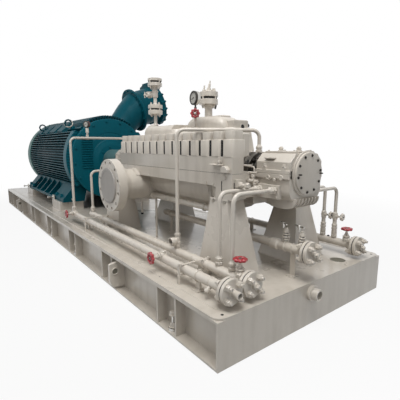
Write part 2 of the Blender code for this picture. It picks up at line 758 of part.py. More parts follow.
def bearings():
    for word, face, way in (("nde", nde_housing, 1), ("de", de_housing, -1)):
        end = face + way * housing_length
        x0, x1 = sorted((face, end))
        joint = shaft_z - gap / 2
        bore = [shaft_bore(x0 - 0.1, x1 + 0.1, play=bearing_play)]
        add = [stacked([section(x, housing_half, joint, housing_bottom, 0.080) for x in (x0, x1)]),
               box(x0, x1, -housing_joint, housing_joint, shaft_z - 0.030, joint)]
        add += [box(*sizes) for sizes in housing_bosses(word, face, way)]
        low, high = housing_bottom, shaft_z - cover_rim - 0.006
        fin = [(0.060, low + 0.015), (0.100, low - 0.040), (housing_length - 0.040, low - 0.046),
               (housing_length + 0.010, low - 0.020), (housing_length + 0.022, high),
               (housing_length - 0.010, high), (housing_length - 0.010, low + 0.015)]
        for k in range(8):
            y = (housing_half - 0.046) * (2 * k / 7 - 1)
            add.append(prism_y([(face + way * u, z) for u, z in fin], y - 0.005, y + 0.005))
        solid(f"bearing_body_{word}", white, add, cut=bore)

        joint = shaft_z + gap / 2
        solid(f"bearing_cap_{word}", white,
              [stacked([section(x, housing_half, joint, housing_top, 0.040) for x in (x0, x1)]),
               box(x0, x1, -housing_joint, housing_joint, joint, shaft_z + 0.025),
               box(x0 + 0.020, x1 - 0.020, -0.100, 0.100, housing_top - 0.002, housing_top + 0.015)], cut=bore)
        solid(f"bearing_cover_{word}", white,
              [lathe((end + way * gap, 0, shaft_z), (way, 0, 0),
                     [(0, cover_rim), (0.010, cover_rim), (0.010, cover_radius),
                      (cover_thick - gap, cover_radius)], 28)], cut=bore if way < 0 else [])
    for word, x, way in (("nde", case_nde + gap, 1), ("de", throat_end - gap, -1)):
        solid(f"seal_gland_{word}", steel,
              [lathe((x, 0, shaft_z), (way, 0, 0),
                     [(0, gland_radius), (gland_flange, gland_radius), (gland_flange, 0.090),
                      (gland_flange + 0.030, 0.090)], 28)],
              cut=[shaft_bore(x - 0.2, x + 0.2)])


def wheel(name, centre, axis, radius=wheel_radius, spec=red):
    """Handwheel on a short stem; the centre is the wheel's middle and the axis points outwards."""
    d, u, v = frame_of(axis)
    c = Vector(centre)
    add = [ring(c, d, radius - 0.006, 0.006, 16, 5), rod(c - d * 0.034, c + d * 0.010, 0.007, 8)]
    for k in range(3):
        t = math.tau * k / 3
        out = u * math.cos(t) + v * math.sin(t)
        add.append(rod(c, c + out * (radius - 0.006), 0.0045, 4))
    solid(name, spec, add, at=tuple(c))


def handle(name, centre, across):
    """T-handle on an upright stem."""
    c, arm = Vector(centre), Vector(across).normalized() * 0.045
    solid(name, white, [rod(c - Vector((0, 0, 0.034)), c + Vector((0, 0, 0.008)), 0.007, 10),
                        rod(c - arm, c + arm, 0.006, 8)], at=tuple(c))


def valve(at, axis, size=0.030):
    """Valve body with its bonnet, the bore its stem needs, and the middle of its handwheel."""
    c = Vector(at)
    d = Vector(axis).normalized()
    shells = [lathe(c - d * size, d, [(0, size * 0.8), (size * 2, size * 0.8), (size * 2, size * 0.55),
                                      (size * 3.2, size * 0.55)], 10)]
    wheel_centre = c + d * (size * 2.2 + 0.0225)
    hole = rod(wheel_centre - d * 0.036, wheel_centre + d * 0.02, 0.007 + stem_play, 12)
    return shells, hole, tuple(wheel_centre)


def header(name, y, start, end, extras=(), cuts=(), z=header_z):
    """Header pipe along X that ends in a flange, with its blind flange as a piece of its own."""
    radius, flange = header_radius, blind_radius
    add = [rod((start, y, z), (end - 0.004, y, z), radius, 12),
           lathe((end - blind_thick, y, z), (1, 0, 0),
                 [(0, flange), (blind_thick - 0.003, flange), (blind_thick - 0.003, flange * 0.7),
                  (blind_thick, flange * 0.7)], 18)]
    solid(name, white, add + list(extras), cut=list(cuts))
    solid(name + "_blind", white,
          [lathe((end + gap, y, z), (1, 0, 0),
                 [(0, flange * 0.7), (0.003, flange * 0.7), (0.003, flange), (blind_thick + 0.003, flange)], 18)])


def support(x, y, z=header_z):
    """Foot that carries a header pipe and is part of it."""
    return box(x - 0.020, x + 0.020, y - 0.004, y + 0.004, gap, z)


def riser(name, points, bend=0.05, extras=(), cuts=()):
    """Small pipe from the top of a header, or between two pieces, with union nuts at its ends."""
    add = [pipe(points, riser_radius, bend)]
    for end, before in ((points[0], points[1]), (points[-1], points[-2])):
        end = Vector(end)
        d = (Vector(before) - end).normalized()
        add.append(rod(end, end + d * 0.036, riser_radius * 1.6, 6))
    solid(name, white, add + list(extras), cut=list(cuts))


def pipework():
    gland_top = shaft_z + gland_radius * math.cos(math.pi / 28) + gap
    top = header_z + header_radius + gap
    y = near_header_y
    body, hole, spot = valve((header_valve_x, y, header_z + header_radius), (0, 0, 1))
    header("cooling_header", y, cooling_de_x - 0.040, header_end,
           body + [support(cooling_de_x + 0.300, y), support(cooling_in_x - 0.130, y)], [hole])
    wheel("handwheel_cooling", spot, (0, 0, 1))
    for name, x in (("cooling_pipe_de", cooling_de_x), ("cooling_pipe_nde_in", cooling_in_x),
                    ("cooling_pipe_nde_out", cooling_out_x)):
        riser(name, [(x, y, top), (x, y, cooling_z), (x, -housing_boss - gap, cooling_z)])
    tee = header_z + 0.080
    x = flush_nde_x
    riser("flush_pipe_nde",
          [(x, y, top), (x, y, flush_nde_z), (nde_port, 0, flush_nde_z), (nde_port, 0, gland_top)],
          extras=[rod((x, y, tee), (x, y - 0.062, tee), 0.021, 12)],
          cuts=[rod((x, y - 0.030, tee), (x, y - 0.1, tee), 0.014, 12)])

    y = outer_header_y
    first, hole_a, spot_a = valve((flush_de_x + 0.070, y - 0.020, header_z + 0.020), (0, -1, 0))
    second, hole_b, spot_b = valve((flush_nde_x + 0.060, y - 0.010, header_z + 0.020), (0, -1, 0))
    header("flush_header", y, flush_de_x - 0.030, header_end,
           first + second + [support(flush_de_x + 0.450, y), support(cooling_in_x, y)], [hole_a, hole_b])
    wheel("handwheel_flush_de", spot_a, (0, -1, 0))
    wheel("handwheel_flush_nde", spot_b, (0, -1, 0))
    x, z = flush_de_x, flush_de_z
    pocket = (x, y + 0.195, z)
    riser("flush_pipe_de", [(x, y, top), (x, y, z), (x, 0, z), (de_port, 0, z), (de_port, 0, gland_top)],
          extras=[rod(pocket, (*pocket[:2], z + 0.040), 0.012, 10)])
    gauge("flush_gauge", (*pocket[:2], z + 0.040 + gap), 0.060, 0.032)

    y = far_header_y
    body, hole, spot = valve((header_valve_x, y, header_z + header_radius), (0, 0, 1))
    header("return_header", y, return_x[0] - 0.960, header_end,
           body + [support(return_x[0] - 0.810, y), support(return_x[0] - 0.110, y)], [hole])
    wheel("handwheel_return", spot, (0, 0, 1))
    for word, x in zip(("low", "high"), return_x):
        body, hole, spot = valve((x, y, header_z + 0.205), (1, 0, 0), 0.018)
        riser("return_pipe_" + word, [(x, y, top), (x, y, return_z), (x, housing_boss + gap, return_z)],
              extras=body, cuts=[hole])
        wheel("handwheel_return_" + word, spot, (1, 0, 0), small_wheel, grey)

    y, end = drain_y, nde_cover + 0.080
    extras, cuts, spots = [], [], []
    for x in (end - 0.180, end - 0.055):
        body, hole, spot = valve((x, y, drain_z + 0.075), (0, 0, 1), 0.026)
        extras += body + [rod((x, y, drain_z), (x, y, drain_z + 0.060), 0.016, 12)]
        cuts.append(hole)
        spots.append(spot)
    header("drain_header", y, case_de + 0.300, end,
           extras + [support(x, y, drain_z) for x in (case_de + 0.400, end - 0.118)], cuts, drain_z)
    handle("handle_drain_inner", spots[0], (1, -0.5, 0))
    handle("handle_drain_outer", spots[1], (1, -0.3, 0))


def gauge(name, foot, stem, radius):
    """Dial gauge on its stem, turned to the near front corner of the skid."""
    x, y, z = foot
    facing = Vector((0.79, -0.61, 0))
    middle = Vector((x, y, z + stem + radius * 0.8)) - facing * 0.020
    solid(name, steel,
          [rod((x, y, z), (x, y, z + stem), 0.008, 12),
           lathe(middle, facing, [(0, radius - 0.005), (0.005, radius), (0.038, radius), (0.044, radius - 0.005)], 28)])


def top_fittings():
    z = dome_top + gap
    solid("vent_stack_suction", white,
          [lathe((dome_x, 0, z), (0, 0, 1),
                 [(0, 0.018), (0.150, 0.018), (0.150, 0.065), (0.172, 0.065), (0.172, 0.050),
                  (0.180, 0.050), (0.180, 0.065), (0.202, 0.065), (0.202, 0.028), (0.390, 0.028),
                  (0.390, 0.065), (0.412, 0.065), (0.412, 0.050), (0.420, 0.050),
                  (0.420, 0.065), (0.450, 0.065)], 14)])
    z = crossover_top + 0.007 + gap
    solid("vent_stack_crossover", white,
          [lathe((vent_x(), 0, z), (0, 0, 1),
                 [(0, 0.032), (0.085, 0.032), (0.100, 0.080), (0.130, 0.080), (0.130, 0.060),
                  (0.138, 0.060), (0.138, 0.080), (0.170, 0.080), (0.170, 0.045), (0.205, 0.040),
                  (0.285, 0.010)], 14)])
    x, y = gauge_place()
    z = case_top + 0.012 + gap
    body, hole, spot = valve((x, y, z + 0.100), (0.55, -0.45, 0), 0.022)
    solid("gauge_valve", white, body + [rod((x, y, z), (x, y, z + 0.140), 0.010, 12)], cut=[hole])
    wheel("handwheel_gauge", spot, (0.55, -0.45, 0), wheel_radius - 0.005)
    gauge("pressure_gauge", (x, y, z + 0.140 + gap), 0.040, 0.055)


def main():
    for obj in list(bpy.data.objects):
        bpy.data.objects.remove(obj)
    skid()
    motor()
    rotor()
    casing()
    pedestals()
    bearings()
    pipework()
    top_fittings()


main()
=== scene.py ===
"""Looks of the multistage pump, its motor and its skid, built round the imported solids.

Everything is in the frame of the solids, in metres: X runs from the motor to the free end of
the pump, and the coupling end of the motor is at X = 0.  DE is the pump's drive end, beside
the coupling, and NDE its free end.  Heights written in at() are counted from the deck.
"""
import json
import math

import bmesh
import bpy
from bpy.props import FloatProperty, FloatVectorProperty, IntProperty, PointerProperty
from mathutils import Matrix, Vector


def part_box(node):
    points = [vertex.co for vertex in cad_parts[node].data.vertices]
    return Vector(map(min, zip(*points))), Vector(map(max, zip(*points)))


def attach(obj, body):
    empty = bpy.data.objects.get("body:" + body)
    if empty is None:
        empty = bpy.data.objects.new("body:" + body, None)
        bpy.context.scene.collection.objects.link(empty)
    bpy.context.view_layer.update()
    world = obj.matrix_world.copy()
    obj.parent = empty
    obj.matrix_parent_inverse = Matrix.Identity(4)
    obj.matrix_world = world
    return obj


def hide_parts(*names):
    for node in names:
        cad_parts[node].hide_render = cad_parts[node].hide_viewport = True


bl_info = {
    "name": "Multistage pump looks",
    "version": (1, 0, 0),
    "blender": (4, 5, 0),
    "location": "View3D > Sidebar > Pump",
    "description": "Dresses the packed pump solids in their fittings and finishes",
    "category": "Object",
}

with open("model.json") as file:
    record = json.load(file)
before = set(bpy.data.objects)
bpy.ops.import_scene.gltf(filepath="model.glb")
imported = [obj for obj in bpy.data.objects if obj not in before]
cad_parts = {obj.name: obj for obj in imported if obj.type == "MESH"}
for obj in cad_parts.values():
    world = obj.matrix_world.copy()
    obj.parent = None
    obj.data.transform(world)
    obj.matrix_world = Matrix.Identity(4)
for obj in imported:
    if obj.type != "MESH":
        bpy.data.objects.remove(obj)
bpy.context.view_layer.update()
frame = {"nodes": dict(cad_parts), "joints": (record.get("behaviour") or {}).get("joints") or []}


def middle(node, axis):
    low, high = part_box(node)
    return (low[axis] + high[axis]) / 2


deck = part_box("pedestal_nde_near")[0].z - 0.0003
shaft = middle("motor_fan_cowl", 2) - deck
case_de, case_nde = 1.220, 2.620
split_top, split_bottom = shaft + 0.108, shaft - 0.087
stud_top = split_top + 0.164
case_top = shaft + 0.315
nozzle_z = shaft - 0.177
near_y, outer_y, far_y, drain_y = -0.545, -0.705, 0.620, -0.080
header_z, drain_z = 0.090, 0.190
header_end = 3.150
half_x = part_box("skid_frame")[1].x


def at(x, y, z):
    """Point in the frame; z is counted from the deck."""
    return Vector((x, y, z + deck))


# Colours


def hex_colour(code):
    """Linear RGB of an sRGB hex value."""
    parts = [int(code[i:i + 2], 16) / 255 for i in (1, 3, 5)]
    return tuple(p / 12.92 if p <= 0.04045 else ((p + 0.055) / 1.055) ** 2.4 for p in parts)


def colour(label, note, code):
    return FloatVectorProperty(name=label, description=note, default=hex_colour(code), subtype='COLOR',
                               min=0, max=1)


def length(label, note, default):
    return FloatProperty(name=label, description=note, default=default, unit='LENGTH', min=0)


class PumpFinishes(bpy.types.PropertyGroup):
    """Colours of the paints and bare metals."""
    enamel: colour("Enamel", "Warm pale grey enamel on the pump and skid", "#C6BFB5")
    enamel_dust: colour("Enamel dust", "Dust and handling marks on the pale enamel", "#A1988B")
    teal: colour("Motor teal", "Teal enamel on the motor", "#065A69")
    teal_dust: colour("Motor dust", "Dull patches on the motor", "#174E58")
    cowl: colour("Fan cowl", "Grey green enamel on the fan cowl", "#3F706B")
    guard: colour("Coupling guard", "Grey teal enamel on the coupling guard", "#557577")
    red: colour("Handwheel red", "Red enamel on the valve handwheels", "#A0081C")
    cover: colour("Nozzle cover", "Grey transit covers on the nozzles", "#A09C98")
    dark_steel: colour("Dark steel", "Oiled bare steel of the seal glands", "#6E6B66")
    bright_steel: colour("Bright steel", "Stainless tube fittings and gauge cases", "#C9C7C2")


class PumpSizes(bpy.types.PropertyGroup):
    """Sizes of the small fittings."""
    edge: length("Edge radius", "Rounding of cast and machined edges", 0.003)
    tube: length("Tube radius", "Radius of the small pipes", 0.0135)
    nozzle_bolt: length("Nozzle bolt hole", "Radius of the bolt holes in the nozzle flanges", 0.0145)
    nozzle_bolts: IntProperty(name="Nozzle bolts", description="Bolt holes in each nozzle flange",
                              default=12, min=4)
    wheel_lobes: IntProperty(name="Wheel lobes", description="Lobes round a handwheel's rim", default=8, min=3)
    cover_bolts: IntProperty(name="Cover bolts", description="Bolts round a bearing cover", default=10, min=4)


# Materials


def put(tree, kind, inputs=None, **settings):
    """Adds a node with its settings; each input gets a value or a link."""
    made = tree.nodes.new(kind)
    for key, value in settings.items():
        setattr(made, key, value)
    for key, value in (inputs or {}).items():
        if isinstance(value, bpy.types.NodeSocket):
            tree.links.new(value, made.inputs[key])
        else:
            made.inputs[key].default_value = value
    return made


def shader_of(name):
    made = bpy.data.materials.new(name)
    made.use_nodes = True
    tree = made.node_tree
    return made, tree, tree.nodes["Principled BSDF"]


def paint(name, base, worn, grain=0.0012, grain_size=0.003, rough=(0.30, 0.46), coat=0.25, edge=0.003,
          dust=0.35, gloss=0.5):
    """Brushed or sprayed enamel over cast or rolled steel.

    Large soft patches carry dust, streaks run down the sides, the edges are painted lighter, partly as worn thin film
    and partly as a painted highlight, and the metal's grain and the paint's orange peel show in the gloss.
    """
    made, tree, out = shader_of(name)
    where = put(tree, "ShaderNodeTexCoord").outputs["Object"]
    patches = put(tree, "ShaderNodeTexNoise", {"Vector": where, "Scale": 2.6, "Detail": 4.0, "Roughness": 0.6})
    fall = put(tree, "ShaderNodeMapping", {"Vector": where, "Scale": (16, 16, 1.6)})
    streaks = put(tree, "ShaderNodeTexNoise", {"Vector": fall.outputs[0], "Scale": 1.0, "Detail": 3.0})
    both = put(tree, "ShaderNodeMath", {0: patches.outputs[0], 1: streaks.outputs[0]}, operation='MULTIPLY')
    spread = put(tree, "ShaderNodeMapRange", {0: both.outputs[0], 1: 0.22, 2: 0.42, 3: 0.0, 4: dust})
    soft = put(tree, "ShaderNodeBevel", {"Radius": edge}, samples=4)
    flat = put(tree, "ShaderNodeNewGeometry")
    turn = put(tree, "ShaderNodeVectorMath", {0: soft.outputs[0], 1: flat.outputs["Normal"]},
               operation='DOT_PRODUCT')
    # Edges are mixed towards a lighter colour: partly worn thin film, partly a painted highlight.
    rim = put(tree, "ShaderNodeMapRange", {0: turn.outputs["Value"], 1: 0.97, 2: 0.72, 3: 0.0, 4: 0.55})
    tone = put(tree, "ShaderNodeMix", {0: spread.outputs[0], 6: (*base, 1), 7: (*worn, 1)}, data_type='RGBA')
    edge_wear_and_highlight_colour = tuple(min(1, c * 1.3 + 0.004) for c in base)
    with_edge_wear_and_highlight = put(tree, "ShaderNodeMix", {0: rim.outputs[0], 6: tone.outputs[2], 7: (*edge_wear_and_highlight_colour, 1)},
                data_type='RGBA')
    specks = put(tree, "ShaderNodeTexVoronoi", {"Vector": where, "Scale": 38.0})
    chips = put(tree, "ShaderNodeMapRange", {0: specks.outputs["Distance"], 1: 0.050, 2: 0.035, 3: 0.0, 4: 0.6})
    dark = tuple(c * 0.35 for c in base)
    final = put(tree, "ShaderNodeMix", {0: chips.outputs[0], 6: with_edge_wear_and_highlight.outputs[2], 7: (*dark, 1)},
                data_type='RGBA')
    tree.links.new(final.outputs[2], out.inputs["Base Color"])
    sheen = put(tree, "ShaderNodeMapRange", {0: patches.outputs[0], 1: 0.3, 2: 0.7, 3: rough[0], 4: rough[1]})
    tree.links.new(sheen.outputs[0], out.inputs["Roughness"])
    peel = put(tree, "ShaderNodeTexNoise", {"Vector": where, "Scale": 0.35 / (grain_size * 3), "Detail": 2.0})
    sand = put(tree, "ShaderNodeTexNoise", {"Vector": where, "Scale": 0.35 / grain_size, "Detail": 3.0})
    height = put(tree, "ShaderNodeMath", {0: peel.outputs[0], 1: sand.outputs[0]}, operation='ADD')
    bump = put(tree, "ShaderNodeBump", {"Strength": 0.5, "Distance": grain, "Height": height.outputs[0],
                                        "Normal": soft.outputs[0]})
    tree.links.new(bump.outputs[0], out.inputs["Normal"])
    out.inputs["Specular IOR Level"].default_value = gloss
    out.inputs["Coat Weight"].default_value = coat
    out.inputs["Coat Roughness"].default_value = 0.12
    return made


def metal(name, base, rough, turned=0.0, axis=0, streak=0.35):
    """Bare metal: turned rings a millimetre apart where it was on a lathe, smears of oil elsewhere."""
    made, tree, out = shader_of(name)
    where = put(tree, "ShaderNodeTexCoord").outputs["Object"]
    smear = put(tree, "ShaderNodeTexNoise", {"Vector": where, "Scale": 24.0, "Detail": 4.0})
    dark = tuple(c * (1 - streak) for c in base)
    tone = put(tree, "ShaderNodeMix", {0: smear.outputs[0], 6: (*base, 1), 7: (*dark, 1)}, data_type='RGBA')
    tree.links.new(tone.outputs[2], out.inputs["Base Color"])
    sheen = put(tree, "ShaderNodeMapRange", {0: smear.outputs[0], 1: 0.3, 2: 0.7, 3: rough * 0.7, 4: rough * 1.4})
    tree.links.new(sheen.outputs[0], out.inputs["Roughness"])
    out.inputs["Metallic"].default_value = 1.0
    if turned:
        rings = put(tree, "ShaderNodeTexWave", {"Vector": where, "Scale": 0.2 / turned, "Distortion": 0.4},
                    bands_direction='XYZ'[axis])
        bump = put(tree, "ShaderNodeBump", {"Strength": 0.4, "Distance": 0.0006, "Height": rings.outputs[0]})
        tree.links.new(bump.outputs[0], out.inputs["Normal"])
    return made


def plain(name, base, rough, size=0.002, **sockets):
    """Fine mottled surface without a gloss coat, such as gasket sheet, rubber or printed card."""
    made, tree, out = shader_of(name)
    where = put(tree, "ShaderNodeTexCoord").outputs["Object"]
    mottle = put(tree, "ShaderNodeTexNoise", {"Vector": where, "Scale": 0.35 / size, "Detail": 3.0})
    worn = tuple(min(1, c * 0.8) for c in base)
    tone = put(tree, "ShaderNodeMix", {0: mottle.outputs[0], 6: (*base, 1), 7: (*worn, 1)}, data_type='RGBA')
    tree.links.new(tone.outputs[2], out.inputs["Base Color"])
    bump = put(tree, "ShaderNodeBump", {"Strength": 0.2, "Distance": 0.0004, "Height": mottle.outputs[0]})
    tree.links.new(bump.outputs[0], out.inputs["Normal"])
    out.inputs["Roughness"].default_value = rough
    for key, value in sockets.items():
        out.inputs[key.replace("_", " ").title()].default_value = value
    return made


finish = {}


def mix_finishes(colours):
    """Makes every finish once, from the panel's colours."""
    pale, dust = tuple(colours.enamel), tuple(colours.enamel_dust)
    teal = tuple(colours.teal)
    # Gloss enamel brushed over sand castings: the 4 mm sand grain breaks up the highlights.
    finish["casting"] = paint("gloss_enamel_on_casting", pale, dust, 0.0011, 0.004)
    # Gloss enamel rolled on plate: flatter, so the deck mirrors the pedestals faintly.
    finish["plate"] = paint("gloss_enamel_on_plate", pale, dust, 0.0004, 0.006, rough=(0.24, 0.40), coat=0.4)
    # The same enamel on drawn tube and small fittings, thick enough to drown their edges.
    finish["tube"] = paint("gloss_enamel_on_tube", tuple(min(1, c * 1.06) for c in pale), dust, 0.0003, 0.003,
                           rough=(0.22, 0.34), coat=0.4, edge=0.0012, dust=0.2)
    # Teal machinery enamel on a grey iron frame, dulled by dust in patches.
    finish["motor"] = paint("teal_enamel_on_iron", teal, tuple(colours.teal_dust), 0.0010, 0.004,
                            rough=(0.30, 0.48), coat=0.0, edge=0.0015, dust=0.30, gloss=0.10)
    # The frame's fins, in the same enamel at 0.62 of its brightness as painted shade for the gaps between them, with
    # patches of dust.
    finish["fins"] = paint("teal_enamel_with_painted_fin_shade", tuple(c * 0.62 for c in teal), tuple(colours.teal_dust),
                           0.0010, 0.004, rough=(0.36, 0.52), coat=0.0, edge=0.0015, dust=0.20, gloss=0.08)
    # Pressed steel fan cowl, greyer and flatter than the frame.
    finish["cowl"] = paint("grey_green_enamel_on_pressing", tuple(colours.cowl), tuple(colours.teal_dust),
                           0.0004, 0.006, rough=(0.40, 0.56), coat=0.0, gloss=0.25)
    finish["guard"] = paint("grey_teal_enamel_on_sheet", tuple(colours.guard), tuple(colours.teal_dust),
                            0.0003, 0.006, rough=(0.36, 0.50), coat=0.03, gloss=0.3)
    # Bright red enamel dipped on cast wheels, darker in patches, its edges painted lighter as wear and as a painted
    # highlight.
    finish["red"] = paint("red_enamel_on_cast_wheel", tuple(colours.red), tuple(c * 0.45 for c in colours.red),
                          0.0004, 0.002, rough=(0.20, 0.34), coat=0.5, edge=0.0008, dust=0.7)
    finish["cover"] = paint("grey_primer_on_cover", tuple(colours.cover), tuple(c * 0.8 for c in colours.cover),
                            0.0003, 0.003, rough=(0.5, 0.62), coat=0.0, dust=0.5)
    # Oiled forged steel, turned across the shaft line.
    finish["gland"] = metal("turned_forged_steel", tuple(colours.dark_steel), 0.30, turned=0.004)
    finish["steel"] = metal("stainless_steel", tuple(colours.bright_steel), 0.24, streak=0.15)
    finish["bolt"] = metal("black_oxide_bolt_steel", hex_colour("#4A4845"), 0.42, streak=0.4)
    finish["wheel_grey"] = metal("bare_cast_valve_wheel", hex_colour("#8F8D88"), 0.45, streak=0.3)
    # Compressed sheet between flanges reads as a black line.
    finish["gasket"] = plain("graphite_gasket_sheet", hex_colour("#1E1D1C"), 0.75)
    finish["dark"] = plain("shadowed_bore", hex_colour("#0C0C0C"), 0.9)
    finish["well"] = plain("shadowed_deck_well", hex_colour("#6B685C"), 0.8)
    finish["dial"] = plain("printed_dial_card", hex_colour("#C4C3BD"), 0.55, 0.001)
    finish["ink"] = plain("dial_printing_ink", hex_colour("#1A1A1A"), 0.6, 0.001)
    finish["rubber"] = plain("gauge_case_rubber", hex_colour("#5E3A38"), 0.6, 0.002)


# Geometry Nodes trees


def tree_with(name, inputs):
    tree = bpy.data.node_groups.new(name, 'GeometryNodeTree')
    tree.interface.new_socket("Geometry", in_out='INPUT', socket_type='NodeSocketGeometry')
    for label, kind, default in inputs:
        socket = tree.interface.new_socket(label, in_out='INPUT', socket_type='NodeSocket' + kind)
        if default is not None:
            socket.default_value = default
    tree.interface.new_socket("Geometry", in_out='OUTPUT', socket_type='NodeSocketGeometry')
    return tree, put(tree, "NodeGroupInput").outputs


def close_tree(tree, geometry, material):
    real = put(tree, "GeometryNodeRealizeInstances", {0: geometry})
    coloured = put(tree, "GeometryNodeSetMaterial", {"Geometry": real.outputs[0], "Material": material})
    put(tree, "NodeGroupOutput", {0: coloured.outputs[0]})
    return tree


def fastener_tree():
    """Hexagon nut or head with a washer and a stud end on every point, each turned by chance."""
    tree, given = tree_with("hexagon_fasteners", [
        ("Corner Radius", "Float", 0.012), ("Nut Height", "Float", 0.010), ("Chamfer Height", "Float", 0.002),
        ("Washer Radius", "Float", 0.014), ("Washer Height", "Float", 0.002), ("Stud Radius", "Float", 0.006),
        ("Stud Height", "Float", 0.014), ("Seed", "Int", 3), ("Finish", "Material", None)])
    inner = put(tree, "ShaderNodeMath", {0: given["Corner Radius"], 1: 0.84}, operation='MULTIPLY')
    nut = put(tree, "GeometryNodeMeshCone", {"Vertices": 6, "Radius Top": given["Corner Radius"],
                                             "Radius Bottom": given["Corner Radius"], "Depth": given["Nut Height"]})
    taper = put(tree, "GeometryNodeMeshCone", {"Vertices": 6, "Radius Top": inner.outputs[0],
                                               "Radius Bottom": given["Corner Radius"],
                                               "Depth": given["Chamfer Height"]})
    rise = put(tree, "ShaderNodeCombineXYZ", {"Z": given["Nut Height"]})
    crown = put(tree, "GeometryNodeTransform", {"Geometry": taper.outputs["Mesh"], "Translation": rise.outputs[0]})
    washer = put(tree, "GeometryNodeMeshCone", {"Vertices": 18, "Radius Top": given["Washer Radius"],
                                                "Radius Bottom": given["Washer Radius"],
                                                "Depth": given["Washer Height"]})
    stud = put(tree, "GeometryNodeMeshCone", {"Vertices": 12, "Radius Top": given["Stud Radius"],
                                              "Radius Bottom": given["Stud Radius"], "Depth": given["Stud Height"]})
    whole = put(tree, "GeometryNodeJoinGeometry")
    for piece in (nut, crown, washer, stud):
        tree.links.new(piece.outputs[0], whole.inputs[0])
    facing = put(tree, "GeometryNodeInputNamedAttribute", {"Name": "facing"}, data_type='FLOAT_VECTOR')
    aimed = put(tree, "FunctionNodeAlignRotationToVector", {"Vector": facing.outputs[0]}, axis='Z')
    chance = put(tree, "FunctionNodeRandomValue", {2: 0.0, 3: 1.047, "Seed": given["Seed"]}, data_type='FLOAT')
    spin = put(tree, "FunctionNodeAxisAngleToRotation", {"Axis": (0, 0, 1), "Angle": chance.outputs[1]})
    turned = put(tree, "FunctionNodeRotateRotation", {0: aimed.outputs[0], 1: spin.outputs[0]},
                 rotation_space='LOCAL')
    placed = put(tree, "GeometryNodeInstanceOnPoints", {"Points": given["Geometry"], "Instance": whole.outputs[0],
                                                        "Rotation": turned.outputs[0]})
    return close_tree(tree, placed.outputs[0], given["Finish"])


def repeat_tree():
    """Repeats the shape it is given along a line, or round a centre, by equal steps and turns."""
    tree, given = tree_with("repeated_shape", [
        ("Count", "Int", 8), ("Start", "Vector", None), ("Step", "Vector", None), ("Turn", "Vector", None),
        ("Finish", "Material", None)])
    line = put(tree, "GeometryNodeMeshLine", {"Count": given["Count"], "Start Location": given["Start"],
                                              "Offset": given["Step"]}, mode='OFFSET')
    index = put(tree, "GeometryNodeInputIndex")
    turn = put(tree, "ShaderNodeVectorMath", {0: given["Turn"], "Scale": index.outputs[0]}, operation='SCALE')
    placed = put(tree, "GeometryNodeInstanceOnPoints", {"Points": line.outputs[0], "Instance": given["Geometry"],
                                                        "Rotation": turn.outputs[0]})
    return close_tree(tree, placed.outputs[0], given["Finish"])


def grown(name, mesh, tree, values, body="machine"):
    """Runs a tree on a mesh and keeps the result as a plain piece."""
    obj = bpy.data.objects.new(name, mesh)
    bpy.context.scene.collection.objects.link(obj)
    modifier = obj.modifiers.new("grow", 'NODES')
    modifier.node_group = tree
    for socket in tree.interface.items_tree:
        if socket.in_out == 'INPUT' and socket.name in values:
            modifier[socket.identifier] = values[socket.name]
    graph = bpy.context.evaluated_depsgraph_get()
    result = bpy.data.meshes.new_from_object(obj.evaluated_get(graph), depsgraph=graph)
    obj.modifiers.clear()
    obj.data = result
    if not result.polygons:
        raise RuntimeError(f"{name} came out empty")
    result.shade_smooth()
    result.set_sharp_from_angle(angle=math.radians(35))
    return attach(obj, body)


def fasteners(name, spots, across, finish_name="casting", height=None, stud=0.0, washer=True, body="machine",
              seed=3):
    """Hexagon fasteners on spots, each a point on the seat and the way out; across is over the flats."""
    height = height or across * 0.75
    mesh = bpy.data.meshes.new(name)
    mesh.from_pydata([p for p, _ in spots], [], [])
    facing = mesh.attributes.new("facing", 'FLOAT_VECTOR', 'POINT')
    for i, (_, way) in enumerate(spots):
        facing.data[i].vector = Vector(way).normalized()
    return grown(name, mesh, trees["fasteners"], {
        "Corner Radius": across / math.sqrt(3), "Nut Height": height * 0.84, "Chamfer Height": height * 0.16,
        "Washer Radius": across * (0.72 if washer else 0.4), "Washer Height": across * 0.09,
        "Stud Radius": across * 0.31, "Stud Height": height + max(stud, 0.0005), "Seed": seed,
        "Finish": finish[finish_name]}, body)


def repeated(name, shells, count, start=(0, 0, 0), step=(0, 0, 0), turn=(0, 0, 0), finish_name="casting",
             body="machine"):
    return grown(name, shells.mesh(name), trees["repeats"], {
        "Count": count, "Start": tuple(start), "Step": tuple(step), "Turn": tuple(turn),
        "Finish": finish[finish_name]}, body)


trees = {}


# Shapes


def frame_of(direction):
    d = Vector(direction).normalized()
    up = Vector((0, 0, 1)) if abs(d.z) < 0.9 else Vector((0, 1, 0))
    u = up.cross(d).normalized()
    return d, u, d.cross(u)


def around(centre, direction, radius, count, first=0.0):
    """Points on a circle about an axis, evenly spaced."""
    d, u, v = frame_of(direction)
    spots = []
    for k in range(count):
        t = math.tau * k / count + first
        spots.append(Vector(centre) + (u * math.cos(t) + v * math.sin(t)) * radius)
    return spots


